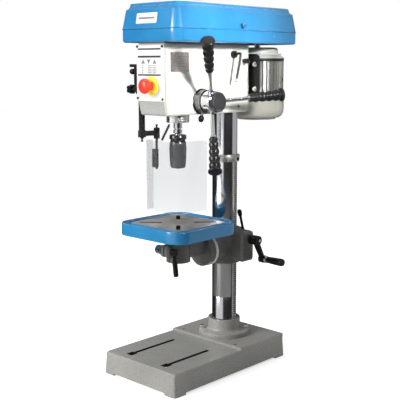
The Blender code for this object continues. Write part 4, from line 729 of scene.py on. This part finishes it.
def makeHeadDetails():
    face, pitch = plateLook["face"], plateLook["dashPitch"]

    def dashes(shape):
        for z, runs in plateLook["rows"]:
            for y, long in runs:
                for k in range(max(1, int(long / pitch))):
                    addBox(shape, (face, y + k * pitch + 2, z), plateLook["dash"])

    def frameLines(shape):
        for y0, y1, z0, z1 in plateLook["frame"]:
            addBox(shape, (face, (y0 + y1) / 2, (z0 + z1) / 2), (0.2, y1 - y0, z1 - z0))

    printShapes("plateLines", "greyInk", "stand", dashes, slot="aluminium")
    printShapes("plateFrame", "redInk", "stand", frameLines, slot="aluminium")
    for k, (y, z) in enumerate(plateLook["rivets"]):
        panScrew(f"plateRivet{k}", (53.1, y, z), (1, 0, 0), 1.6, "brightSteel", "stand", slot="aluminium")
    # the pointer that reads the depth ring, with its marks
    finishPiece(boxObject("depthPointer", (52.2, -203, 768), (56.2, -192.5, 780)), "whitePrint", "stand", bevel=0.5)
    printShapes("pointerMarks", "blackInk", "stand", lambda shape: [
        addBox(shape, (56.3, y, 773.5), (0.3, 1.0, tall)) for y, tall in ((-200.5, 5), (-197.5, 8), (-194.5, 5))])
    # painted highlight: a thin bright steel strip along the head's rear vertical edge stands in for that edge's
    # highlight
    finishPiece(boxObject("rearEdgeHighlight", (51.2, 42.4, 741), (52.3, 44, 925)), "brightSteel", "stand", bevel=0.2)


makePanel()
makeHeadDetails()
print("panel, stop button and head fixings made")


# belt cover

coverLook = {
    "halfWidth": 112, "front": -307, "back": 201, "corner": 25, "wall": 2, "bottom": 930, "seam": 964,
    "shoulder": 1018, "top": 1033, "draft": 9, "step": 20, "badge": (78, 27), "badgeAt": (-6.5, 992),
    "badgeCorner": 2.6,
}


def coverRing(inset, height):
    half = coverLook["halfWidth"]
    return roundedRing((-half + inset, coverLook["front"] + inset), (half - inset, coverLook["back"] - inset),
                       max(coverLook["corner"] - inset * 0.8, 5), height, 12)


def makeCover():
    look = coverLook
    wall, low, seam, draft, step = look["wall"], look["bottom"], look["seam"], look["draft"], look["step"]
    top = seam - 0.3
    tray = loft("coverTray", [coverRing(*ring) for ring in (
        (wall + 6, low + wall), (wall + 2.6, low + wall + 1), (wall, low + wall + 4.5), (wall, top), (0.8, top),
        (0, top - 0.8), (0, low + 6), (0.8, low + 3), (2.6, low + 1), (6, low))])
    shaft = lathe("spindleOpening", [(24, -4), (24, 12), (0, 12), (0, -4)], (0, spindleAxis[1], low))
    slotted = boxObject("shaftOpening", (-18, motorAxis[1] - 35, low - 4), (18, motorAxis[1] + 18, low + 12))
    carve(tray, shaft, slotted)
    finishPiece(tray, "blueEnamel", "stand", "cover_tray")
    finishPiece(loft("coverLid", [coverRing(*ring) for ring in (
        (step + 2.5, look["top"] - wall), (draft + 5, look["shoulder"] - wall), (draft + wall + 0.8, 1012),
        (wall + 1, seam + 8), (wall, seam + 0.1), (-1.2, seam + 0.1), (-1.5, seam + 0.6), (-1.5, seam + 2.2),
        (-1.1, seam + 2.9), (-0.2, seam + 3.3), (0.1, seam + 4.6), (draft - 0.6, look["shoulder"] - 5.5),
        (draft + 0.4, look["shoulder"] - 2.4), (draft + 2.2, look["shoulder"] - 0.6),
        (draft + 4.5, look["shoulder"]), (step - 4, look["shoulder"] + 0.6), (step - 2.2, look["shoulder"] + 1.6),
        (step - 1.2, look["shoulder"] + 3.4), (step - 0.2, look["top"] - 4.2), (step + 0.8, look["top"] - 1.8),
        (step + 2.4, look["top"] - 0.5), (step + 5, look["top"]))]), "blueEnamel", "lid", "cover_lid")
    for k, y in enumerate((-250, 150)):
        # a hinge knuckle at each end of the seam on the hinge side
        finishPiece(lathe(f"hingePin{k}", [(0, 0), (2.6, 0), (2.6, 26), (0, 26)], (-112.2, y, seam), (0, 1, 0), 32),
                    "blackSteel", "lid")
    # a plain plate with one plain stripe, lying on the lid's slope
    wide, tall = look["badge"]
    x, z = look["badgeAt"]
    lean = draft / (look["shoulder"] - seam - 5)
    face = look["front"] + (z - seam) * lean - 0.6

    def plate(across, up, raised):
        ring = roundedRing((-across / 2, -up / 2), (across / 2, up / 2), look["badgeCorner"], 0, 8)
        return [Vector((p.x + x * mm, (face - raised) * mm + p.y * lean, p.y + z * mm)) for p in ring]

    finishPiece(loft("lidBadge", [plate(wide, tall, -0.6), plate(wide, tall, 0.2), plate(wide - 1, tall - 1, 0.5)]),
                "whitePrint", "lid")
    finishPiece(loft("badgeStripe", [plate(wide * 0.78, tall * 0.2, raised) for raised in (0.3, 0.6)]), "greyInk",
                "lid")
    panScrew("latchScrew", (118.0, -53, 978), (1, 0, 0), 4.6, "castAluminium", "latch", slot="black_plastic")


def pulleyProfile(radii, bore, hub, hubLow):
    points = []
    for k in range(len(radii) - 1, -1, -1):
        middle = 945 + k * 16
        edge, groove = radii[k] + 2, radii[k] - 5
        points += [(edge - 0.6, middle + 8), (edge, middle + 7.2), (edge, middle + 6), (groove, middle + 3),
                   (groove, middle - 3), (edge, middle - 6), (edge, middle - 7.2), (edge - 0.6, middle - 8)]
    return points + [(hub, 937), (hub, hubLow), (bore, hubLow), (bore, 1001)]


def makePulleys():
    radii = (51, 59, 67, 75)
    finishPiece(lathe("spindlePulley", pulleyProfile(radii, 11.3, 17, 908), spindleAxis, steps=120),
                "castAluminium", "spindle_drive", "spindle_pulley")
    finishPiece(lathe("motorPulley", pulleyProfile([101 - r for r in radii], 9.3, 14, 935), motorAxis, steps=120),
                "castAluminium", "rotor", "motor_pulley")


makeCover()
makePulleys()
print("belt cover and pulleys made")


# motor

motorLook = {"tieCircle": 68, "fins": 40, "finRadius": 80, "coreRadius": 74.5, "low": 785, "high": 893, "top": 922,
             "cowlRadius": 82, "cowlLow": 709}


def makeMotor():
    look = motorLook
    count, middle = look["fins"], motorAxis[1]
    outline = []
    for k in range(count):
        for share, radius in ((-0.5, look["coreRadius"]), (-0.26, look["coreRadius"]),
                              (-0.17, look["finRadius"] - 0.8),
                              (-0.1, look["finRadius"]), (0.1, look["finRadius"]), (0.17, look["finRadius"] - 0.8),
                              (0.26, look["coreRadius"])):
            angle = 2 * math.pi * (k + share) / count
            outline.append((radius, angle))

    def ring(height, cap=None, flat=None):
        return [Vector(((flat or min(radius, cap or radius)) * math.cos(angle),
                        (flat or min(radius, cap or radius)) * math.sin(angle) + middle, height)) * mm
                for radius, angle in outline]

    low, high = look["low"], look["high"]
    finishPiece(loft("motorFins", [ring(low, flat=47), ring(low, 78.5), ring(low + 1.5), ring(high - 1.5),
                                   ring(high, 78.5),
                              ring(high, flat=47)], closed=True), "castAluminium", "motor", "motor_body")
    finishPiece(lathe("motorBell", [
        (9.6, 922), (52, 922), (57, 921), (60.5, 918.6), (62, 915), (62.6, 906), (64, 902.5), (68, 899.5),
        (75, 896),
        (78.6, 892), (79, 888), (79, 884.5), (47, 884.5), (47, 890), (9.6, 890)], motorAxis), "headEnamel", "motor")
    finishPiece(lathe("motorBand", [(78, 882), (80.4, 882), (80.8, 883), (80.8, 889), (80.4, 890), (78, 890)],
                      motorAxis), "blackSteel", "motor")
    finishPiece(boxObject("motorFoot", (-62, 63.4, 806), (62, 92, 880)), "castAluminium", "motor", bevel=2)
    for k, angle in enumerate(corners):
        place = (look["tieCircle"] * math.cos(angle), middle + look["tieCircle"] * math.sin(angle), 898.5)
        hexHead(f"motorTie{k}", place, (0, 0, 1), 7, 5, 4.6, "brightSteel", "motor")
    r, base = look["cowlRadius"], look["cowlLow"]
    finishPiece(lathe("fanCowl", [
        (r - 1, 784.6), (r, 783.6), (r, base + 30), (r - 0.8, base + 24), (r - 3, base + 17),
        (r - 7.5, base + 10.5),
        (r - 14, base + 6), (58.5, base + 4.6), (57.6, base + 3.6), (57, base + 0.8), (56, base), (18, base),
        (18, base + 2), (54, base + 2), (54, base + 7), (r - 16, base + 8), (r - 6, base + 16), (r - 2, base + 28),
        (r - 2, 784.6)], motorAxis, steps=128), "cowlEnamel", "motor", "fan_cowl")
    for k in range(3):
        angle = math.radians(-80 + 120 * k)
        away = (math.cos(angle), math.sin(angle), 0)
        panScrew(f"cowlScrew{k}", (r * away[0], middle + r * away[1], 777), away, 3.6, "brightSteel", "motor")
    for k, (x, z) in enumerate(((66, 873), (66, 802), (-66, 873), (-66, 802))):
        hexHead(f"plateBolt{k}", (x, 54.9, z), (0, -1, 0), 10, 6, 7.2, "brightSteel", "motor")
    for k, (y, z) in enumerate(((122, 811), (166, 811), (122, 859), (166, 859))):
        panScrew(f"boxScrew{k}", (-108, y, z), (-1, 0, 0), 2.6, "brightSteel", "motor")


makeMotor()
print("motor made")


# feed handle, hub and depth ring

feedLook = {"y": -155.75, "z": 772, "rootX": 90, "reach": 197, "splay": 90, "tilt": 35, "rodRadius": 5.5,
            "gripLength": 104, "flare": 19, "swells": 4, "marks": 60}


def makeFeed():
    look = feedLook
    y, z = look["y"], look["z"]
    finishPiece(lathe("feedHub", [
        (10.4, 0), (28.5, 0), (30.2, 0.6), (31, 2.2), (31, 14), (30.6, 17), (31, 20), (30.8, 24), (30, 27.6),
        (28.4, 30.6), (26, 32.4), (23, 33), (10.4, 33)], (76, y, z), (1, 0, 0), 128), "chrome", "feed_wheel",
        "feed_hub")
    finishPiece(lathe("feedCap", [
        (0, 11.6), (14, 11.8), (20, 11.8), (24.2, 11.4), (26.4, 10.2), (27.3, 8.4), (27.3, 3), (26.6, 1), (25.6, 0),
        (0, 0)], (109.4, y, z), (1, 0, 0), 240, flute=(60, 0.7, 2, 9)), "capKnurl", "feed_wheel", "feed_cap",
        smoothAngle=60)
    root = Vector((look["rootX"], y, z))
    for k in range(3):
        angle = math.radians(look["tilt"] - 120 * k)
        tip = Vector((look["splay"], -math.sin(angle) * look["reach"], math.cos(angle) * look["reach"]))
        along = tip.normalized()
        r = look["rodRadius"]
        finishPiece(lathe(f"feedRod{k}", [(0, 15), (r, 15), (r, tip.length - 15), (0, tip.length - 15)], root,
                          along, 48), "chrome", "feed_wheel", f"feed_spoke_{k + 1}")
        finishPiece(lathe(f"rodNut{k}", [(r, 30), (8.2, 30), (8.8, 30.8), (8.8, 35), (8.2, 35.8), (r, 35.8)], root,
                          along, 6), "chrome", "feed_wheel", smoothAngle=20)
        long = look["gripLength"]
        f = look["flare"]
        profile = [(0, long), (f - 9, long), (f - 3.4, long - 0.6), (f - 0.8, long - 2.2), (f, long - 4.8),
                   (f - 0.5, long - 7.4), (f - 2.4, long - 10), (f - 4.4, long - 12.2)]
        span = long - 21
        for step in range(1, 49):
            share = step / 48
            swell = f - 3.9 - 3.6 * share - 1.25 * math.cos(2 * math.pi * share * look["swells"])
            profile.append((swell, long - 12.2 - span * share))
        profile += [(11.4, 6), (11.8, 3), (11, 0.8), (10, 0), (5.7, 0), (5.7, long - 14), (0, long - 14)]
        grip = lathe(f"feedGrip{k}", profile, root + along * (tip.length - long), along, 64)
        grip.data.transform(grip.rotation_quaternion.to_matrix().to_4x4())  # so its box lies along the frame
        grip.rotation_quaternion = (1, 0, 0, 0)
        finishPiece(grip, "blackPlastic", "feed_wheel", f"feed_grip_{k + 1}", smoothAngle=50)
        finishPiece(lathe(f"gripFerrule{k}", [(5.6, -7), (7.4, -7), (8, -6.3), (8, -0.4), (5.6, -0.4)],
                        root + along * (tip.length - long), along, 48), "chrome", "feed_wheel")
    finishPiece(lathe("depthRing", [
        (15.2, 0), (34.4, 0), (35.5, 1), (35.5, 3.4), (34.9, 4.2), (33, 4.8), (32.3, 5.4), (32.3, 22.9), (32, 23.3),
        (15.2, 23.3)], (52.4, y, z), (1, 0, 0), 128), "blackSteel", "depth_stop", "depth_ring", slot="steel")
    finishPiece(lathe("depthBand", [(32, 6.4), (32.7, 6.4), (32.7, 23), (32, 23)], (52.4, y, z), (1, 0, 0), 128),
                "darkSteel", "depth_stop")

    def marks(shape):
        for k in range(look["marks"]):
            angle = 2 * math.pi * k / look["marks"]
            long = 7 if k % 10 == 0 else 5 if k % 5 == 0 else 3.2
            turn = Matrix.Rotation(-angle, 3, "X")
            place = Vector((52.4 + 22 - long / 2, y, z)) + turn @ Vector((0, 0, 32.75))
            addBox(shape, place, (long, 0.7, 0.25), turn)

    printShapes("depthMarks", "whitePrint", "depth_stop", marks, slot="steel")
    down = Vector((0, -0.26, -0.966)).normalized()
    centre = Vector((63, y, z))
    finishPiece(lathe("depthScrew", [(0, 24), (2.9, 24), (2.9, 36), (4.8, 37), (4.8, 39), (2.9, 39.5), (2.9, 41),
                                     (0, 41)],
                 centre, down, 32), "chrome", "depth_screw", "depth_lock_screw", slot="black_plastic")
    finishPiece(lathe("depthKnob", [
        (0, 57), (3, 56.8), (5, 55.4), (6.8, 52.5), (7.8, 48), (8, 45), (7, 42), (5, 40), (4.8, 39.6), (0, 39.6)],
        centre, down, 64, flute=(12, 0.5, 41, 54)), "blackPlastic", "depth_screw", smoothAngle=50)


makeFeed()
print("feed handle and depth ring made")


# chuck

chuckLook = {"top": 681, "knurlCount": 60, "radius": 23.5}


def makeChuck():
    top, r = chuckLook["top"], chuckLook["radius"]
    at = spindleAxis
    finishPiece(lathe("chuckBody", [
        (8.3, top), (21, top), (22.6, top - 0.7), (r, top - 2), (r, top - 11.4), (22.6, top - 12.4),
        (20.4, top - 13),
        (20, top - 13.6), (20, top - 16), (16, top - 16), (16, 594), (15.4, 591), (13.2, 589.4), (13.2, 642),
        (8.3, 647)], at), "chuckBlack", "spindle_chuck", "chuck_body")
    finishPiece(lathe("chuckSleeve", [
        (16.4, 664.6), (19.4, 664.6), (21, 663.8), (22, 662), (22.6, 654), (23.4, 643), (23.4, 636), (22.7, 633.4),
        (22.7, 619), (22.9, 617), (22.7, 616), (21.4, 602), (20.6, 596), (19.4, 591), (18.2, 589.2), (16.4, 589.2)],
        at, steps=240, flute=(chuckLook["knurlCount"], 0.55, 618, 634)), "chuckBlack", "chuck_ring", "chuck_sleeve")

    # painted shade: each chuck key hole is a flat black disc standing in for the shade inside the hole
    def holes(shape):
        for k in range(3):
            angle = math.radians(-60 + 120 * k)
            away = Vector((math.cos(angle), math.sin(angle), 0))
            bmesh.ops.create_cone(shape, cap_ends=True, segments=24, radius1=0.0036, radius2=0.0036, depth=0.0006,
                                  matrix=Matrix.Translation(Vector((0, -0.195, 0.6725)) + away * 0.02345)
                                  @ away.to_track_quat("Z", "Y").to_matrix().to_4x4())

    printShapes("chuckKeyHoleShade", "blackInk", "spindle_chuck", holes, slot="black_steel")


makeChuck()
print("chuck made")


# table and its arm

tableLook = {"half": 126, "corner": 48, "top": 437, "ground": 435, "slotAt": 77, "slotLength": 62, "slotWidth": 12}


def makeTable():
    look = tableLook
    half, top = look["half"], look["top"]

    def ring(inset, height, corner=None):
        span = half - inset
        return roundedRing((-span, -195 - span), (span, -195 + span), corner or look["corner"] - inset, height, 14)

    table = loft("drillTable", [
        ring(9, top - 20), ring(7.2, top - 21), ring(6.6, top - 33), ring(5.6, top - 34), ring(2, top - 34),
        ring(0.6, top - 33.3), ring(0, top - 31.8), ring(0, top - 2.4), ring(0.7, top - 0.8), ring(2.4, top),
        ring(5, top), ring(6.4, top - 0.6), ring(7.6, top - 3), ring(9, top - 6.4), ring(11, top - 7.8),
        ring(13, top - 8.2), ring(24, top - 8.2, 20), ring(26, top - 7.6, 18), ring(27.4, top - 5.4, 17),
        ring(28.2, top - 2.8, 16.4), ring(29, top - 2.1, 16)])
    stem = lathe("tableStem", [
        (0, 418), (36, 418), (34, 414), (32, 389), (30, 388.4), (19, 388.4), (19, 330), (17, 327), (0, 327)],
        spindleAxis)
    cutters = []
    for k, angle in enumerate(corners):
        shape = bmesh.new()
        turn = Matrix.Rotation(angle, 3, "Z")
        slotCentre = Vector(spindleAxis) + turn @ Vector((look["slotAt"], 0, 425))
        addBox(shape, slotCentre, (look["slotLength"], look["slotWidth"], 60), turn)
        cutters.append(makeObject(f"slotCutter{k}", shape))
    carve(table, *cutters)
    table.data.materials.clear()
    finishPiece(table, "blueEnamel", "table", "drill_table")
    mesh = table.data
    mesh.materials.append(finishes["groundTop"])
    mesh.materials.append(finishes["slotShade"])
    for face in mesh.polygons:
        c = face.center / mm
        off = max(abs(c.x), abs(c.y + 195))
        if c.z > look["ground"] - 0.3 and off < 98:
            face.material_index = 1
        elif off < 95 and abs(face.normal.z) < 0.5 and c.z > 415:
            face.material_index = 2
        else:
            face.material_index = 0
    finishPiece(stem, "armEnamel", "table")


armLook = {"tiltHeight": 338, "scaleRadius": 45.4, "marks": 46, "markSpan": 224, "clampAt": (-238, 359.5),
           "washers": ((-17.4, 14.5), (-19.8, 13.4)), "lever": ((25, -234.5, 333), (25, -232.5, 317),
                                                                (25, -229, 289.4))}


def makeArmDetails():
    r, height, span = armLook["scaleRadius"], armLook["tiltHeight"], armLook["markSpan"]
    finishPiece(lathe("tiltScale", [(44.6, 75), (r, 75), (r, 84), (44.6, 84)], (0, 0, height), (0, -1, 0), 128),
                "whitePrint", "table_support", slot="grey_casting")

    def marks(shape):
        for k in range(armLook["marks"]):
            angle = math.radians(span * (k / (armLook["marks"] - 1) - 0.5))
            turn = Matrix.Rotation(angle, 3, "Y")
            long = 6.5 if k % 5 == 0 else 4
            addBox(shape, Vector((0, -83.5 + long / 2, height)) + turn @ Vector((0, 0, r + 0.1)), (0.6, long, 0.3),
                   turn)

    printShapes("tiltMarks", "blackInk", "table_support", marks, slot="grey_casting")
    finishPiece(lathe("tiltPin", [(0, 0), (2.8, 0), (2.8, 14), (2, 15), (0, 15)], (0, -92, 303), (0, -1, 0), 32),
                "brightSteel", "table_support")
    y, z = armLook["clampAt"]
    for k, (x, radius) in enumerate(armLook["washers"]):
        finishPiece(lathe(f"clampWasher{k}", [(5.4, 0), (radius - 0.4, 0), (radius, 0.4), (radius, 1.8),
                                              (radius - 0.4, 2.2),
                                           (5.4, 2.2)], (x, y, z), (-1, 0, 0), 64), "chrome", "table_clamp",
                                           slot="steel")
    hexHead("clampNut", (-22.2, y, z), (-1, 0, 0), 23, 13, 13.2, "chrome", "table_clamp", slot="steel")
    finishPiece(sweep("leverSleeve", curvedPath(armLook["lever"], 6),
                   [6.6] + [7.2] * 11 + [6.4], 32), "blackPlastic", "table_clamp")


crankLook = {"axle": (12, 368), "knee": (116, 39.72, 308.6), "eyeRadius": 11.2, "gripLength": 66}


def makeCrank():
    y, z = crankLook["axle"]
    knee = Vector(crankLook["knee"])
    finishPiece(lathe("crankHub", [(7.4, 0), (13, 0), (14, 1), (14, 30.8), (12.8, 32), (7.4, 32)], (92, y, z),
                (1, 0, 0), 64), "blackSteel", "crank", "crank_arm", slot="black_plastic")
    path = curvedPath([(112, y + 2, z - 6), (115, y + 11.2, z - 29.7), knee], 10)
    finishPiece(sweep("crankWeb", path, [11.5 - 2.5 * k / (len(path) - 1) for k in range(len(path))], 32, 0.66),
                "blackSteel", "crank", slot="black_plastic")
    r = crankLook["eyeRadius"]
    finishPiece(lathe("crankEye", [(4.6, 0), (r - 1, 0), (r, 1), (r, 19), (r - 1, 20), (4.6, 20)],
                knee - Vector((10, 0, 0)), (1, 0, 0), 64), "blackSteel", "crank", slot="black_plastic")
    finishPiece(lathe("crankScrew", [(0, 0), (5, 0), (5, 2.6), (4.2, 3.2), (0, 3.2)], (124, y, z), (1, 0, 0), 6),
                "brightSteel", "crank", smoothAngle=20)
    long = crankLook["gripLength"]
    finishPiece(lathe("gripCollar", [(4.6, 0.3), (9.6, 0.3), (10.4, 1.2), (10.4, 7), (9.4, 8), (4.6, 8)],
                   knee + Vector((10, 0, 0)), (1, 0, 0), 64), "chrome", "crank_handle")
    finishPiece(lathe("crankGrip", [
        (0, long), (6, long - 0.2), (9, long - 1.2), (10.4, long - 3.4), (11, long - 7), (10.9, long - 14),
        (10.6, long - 28), (10.1, 26), (9.8, 18), (9.3, 12), (9, 8.4), (0, 8.4)],
        knee + Vector((10.3, 0, 0)), (1, 0, 0), 64), "blackPlastic", "crank_handle", "crank_grip")
    finishPiece(lathe("gearCover", [(0, 0), (15, 0), (16, 0.8), (16, 1.8), (0, 1.8)], (58, -20, 342), (0, -1, 0),
                      64), "armEnamel", "carriage")
    finishPiece(lathe("crankBush", [(7.4, 0), (12, 0), (12, 1.4), (11.4, 1.9), (7.4, 1.9)], (90, y, z), (1, 0, 0)),
                "brightSteel", "carriage")


makeTable()
makeArmDetails()
makeCrank()
print("table, arm and crank made")


# chuck guard

guardLook = {"left": -66, "right": 73, "front": -265, "back": -155, "bottom": 473, "top": 667, "bend": 22,
             "sheet": 2.2, "corner": 12,
             "blocks": (  # the slide beside the panel, its foot and its stub
                 ("guardSlide", (-88, -276, 818), (-80, -268, 872), "blackSteel", "stand", 0.8),
                 ("guardSlideFoot", (-82, -280, 801), (-73, -264, 822), "blackSteel", "stand", 1),
                 ("guardStub", (-106, -275.5, 865), (-84, -268.5, 873), "blackPlastic", "stand", 1)),
             "clip": ((-66.6, -231, 588), (-50, -220, 640)),
             "knobAt": (-87, -272, 853), "ballScrews": (((-54, -224, 698.4), 1), ((-62, -272, 672.2), -1))}


def makeGuard():
    look = guardLook

    def path(inset):
        left, right, front = look["left"] + inset, look["right"] - inset, look["front"] + inset
        bend = look["bend"] - inset
        points = [(left, -228.6)]
        for x, start in ((left + bend, math.pi), (right - bend, 1.5 * math.pi)):
            for k in range(17):
                angle = start + k * math.pi / 32
                points.append((x + bend * math.cos(angle), front + bend + bend * math.sin(angle)))
        return points + [(right, look["back"])]

    outer, inner = path(0.3), path(0.3 + look["sheet"])
    corner = look["corner"]
    for wall in (outer, inner):  # the free edge at the back right has rounded corners
        x, y = wall.pop()
        wall += [(x, y - corner + corner * math.sin(step * math.pi / 20)) for step in range(11)]
    trims = [0.0] * (len(outer) - 11) + [corner * (1 - math.cos(step * math.pi / 20)) for step in range(11)]
    shape = bmesh.new()
    columns = []
    for first, second, trim in zip(outer, inner, trims):
        low, high = look["bottom"] + 0.2 + trim, look["top"] - 0.2 - trim
        columns.append([shape.verts.new(Vector((x, y, z)) * mm)
                        for (x, y), z in ((first, low), (first, high), (second, high), (second, low))])
    bridge(shape, columns)
    shape.faces.new(columns[0])
    shape.faces.new(columns[-1][::-1])
    finishPiece(makeObject("clearShield", shape), "clearSheet", "guard", "guard_shield")
    for name, low, high, finish, body, bevel in look["blocks"]:
        finishPiece(boxObject(name, low, high), finish, body, bevel=bevel)
    finishPiece(lathe("slideKnob", [(0, 0), (3.4, 0), (3.4, 3), (7, 4.4), (8, 7), (8, 12), (6.8, 15), (0, 15.4)],
                      look["knobAt"], (-1, 0, 0), 64, flute=(10, 0.6, 4.6, 14)), "blackPlastic", "stand")
    for k, (place, up) in enumerate(look["ballScrews"]):
        finishPiece(lathe(f"guardBolt{k}", [
            (0, 0), (3, 0), (3, 3), (1.9, 3.4), (1.9, 5), (3.2, 6), (3.8, 7.6), (3.2, 9.4), (0, 10.2)],
            place, (0, 0, up), 32), "blackSteel", "guard")
    finishPiece(boxObject("shieldClip", *look["clip"]), "blackPlastic", "guard", bevel=1)


makeGuard()
print("guard made")


# floor, lights and camera

studio = {
    "floorColor": (0.93, 0.93, 0.93), "floorGlow": 0.62, "world": 0.5, "backdrop": 1.0,
    "cameraAt": (1.627, -1.826, 0.871),
    "walls": ((-179, 0.04), (-133, 0.05), (-125, 1.5), (-64, 1.5), (-55, 0.07), (22, 0.05), (33, 1.0), (90, 1.0),
              (100, 0.05), (179, 0.04)),
    "ceiling": (1.0, 1.0, 1.0), "ground": (0.5, 0.5, 0.5),
    "cameraAim": (-0.1003, 0.0, 0.4641), "lens": 75.13,
    "lights": (  # name, place, size, power, the height it aims at, and its spread in degrees
        ("keyLight", (-0.9, -2.7, 1.5), 1.3, 74, 0.42, 180), ("fillLight", (-2.4, 0.6, 1.3), 1.6, 6, 0.5, 180),
        ("sideLight", (2.1, -0.5, 1.5), 0.4, 2.1, 0.82, 16), ("topLight", (0.0, 0.0, 3.0), 1.4, 5, 0.5, 180)),
}


def seenDirectly(tree):
    # 1 where the eye sees the surface itself or through the clear sheet, 0 for its bounced light
    ray = addNode(tree, "LightPath")
    return reckon(tree, "MAXIMUM", ray.outputs["Is Camera Ray"], ray.outputs["Is Transmission Ray"])


def roomLight():
    # white behind the object; in reflections, softboxes between darker stretches of wall
    world = bpy.data.worlds.new("studioWorld")
    world.use_nodes = True
    tree = world.node_tree
    backdrop = tree.nodes["Background"]
    backdrop.inputs[0].default_value = (1, 1, 1, 1)
    backdrop.inputs[1].default_value = studio["backdrop"]
    along = addNode(tree, "SeparateXYZ", {0: addNode(tree, "TexCoord").outputs["Generated"]})
    share = ranged(tree, reckon(tree, "ARCTAN2", along.outputs[1], along.outputs[0]), -math.pi, math.pi, 0.0, 1.0)
    walls = addNode(tree, "ValToRGB", {0: share})
    walls.color_ramp.interpolation = "EASE"
    ramp = walls.color_ramp.elements
    for angle, shade in studio["walls"]:
        stop = ramp.new((angle + 180) / 360)
        stop.color = (shade, shade, shade * 1.01, 1)
    ramp.remove(ramp[0])
    ramp.remove(ramp[-1])
    high = ranged(tree, along.outputs[2], 0.25, 0.8, 0.0, 1.0)
    room = mixColor(tree, high, walls.outputs[0], (*studio["ceiling"], 1))
    low = ranged(tree, along.outputs[2], -0.7, -0.4, 1.0, 0.0)
    room = mixColor(tree, low, room, (*studio["ground"], 1))
    dim = addNode(tree, "Background", {0: room, 1: studio["world"]})
    both = addNode(tree, "MixShader", {0: seenDirectly(tree), 1: dim.outputs[0], 2: backdrop.outputs[0]})
    tree.links.new(both.outputs[0], tree.nodes["World Output"].inputs[0])
    return world


def makeStudio():
    shape = bmesh.new()
    bmesh.ops.create_grid(shape, x_segments=1, y_segments=1, size=12)
    floor = makeObject("studioFloor", shape)
    made, tree, shader = startMaterial("studioPaper", roughness=0.9, Emission_Strength=studio["floorGlow"])
    tooth = clouds(tree, ownPlace(tree), 300.0, 3.0)
    tone = mixColor(tree, tooth, solid(studio["floorColor"]), solid(studio["floorColor"], 0.985))
    feed(tree, shader, Base_Color=tone, Emission_Color=seenDirectly(tree))
    floor.data.materials.append(made)
    floor.visible_glossy = False
    bpy.context.scene.world = roomLight()
    bpy.context.scene.view_settings.view_transform = "Standard"
    for name, at, size, power, aimHeight, spread in studio["lights"]:
        lamp = bpy.data.lights.new(name, "AREA")
        lamp.shape = "SQUARE"
        lamp.size = size
        lamp.energy = power
        lamp.spread = math.radians(spread)
        holder = bpy.data.objects.new(name, lamp)
        holder.location = at
        holder.rotation_euler = (Vector((0, -0.1, aimHeight)) - Vector(at)).to_track_quat("-Z", "Y").to_euler()
        bpy.context.scene.collection.objects.link(holder)
    view = bpy.data.cameras.new("mainCamera")
    view.lens = studio["lens"]
    view.sensor_width = 36
    camera = bpy.data.objects.new("mainCamera", view)
    camera.location = studio["cameraAt"]
    aim = Vector(studio["cameraAim"]) - Vector(studio["cameraAt"])
    camera.rotation_euler = aim.to_track_quat("-Z", "Y").to_euler()
    bpy.context.scene.collection.objects.link(camera)
    bpy.context.scene.camera = camera


makeStudio()
print("studio set")
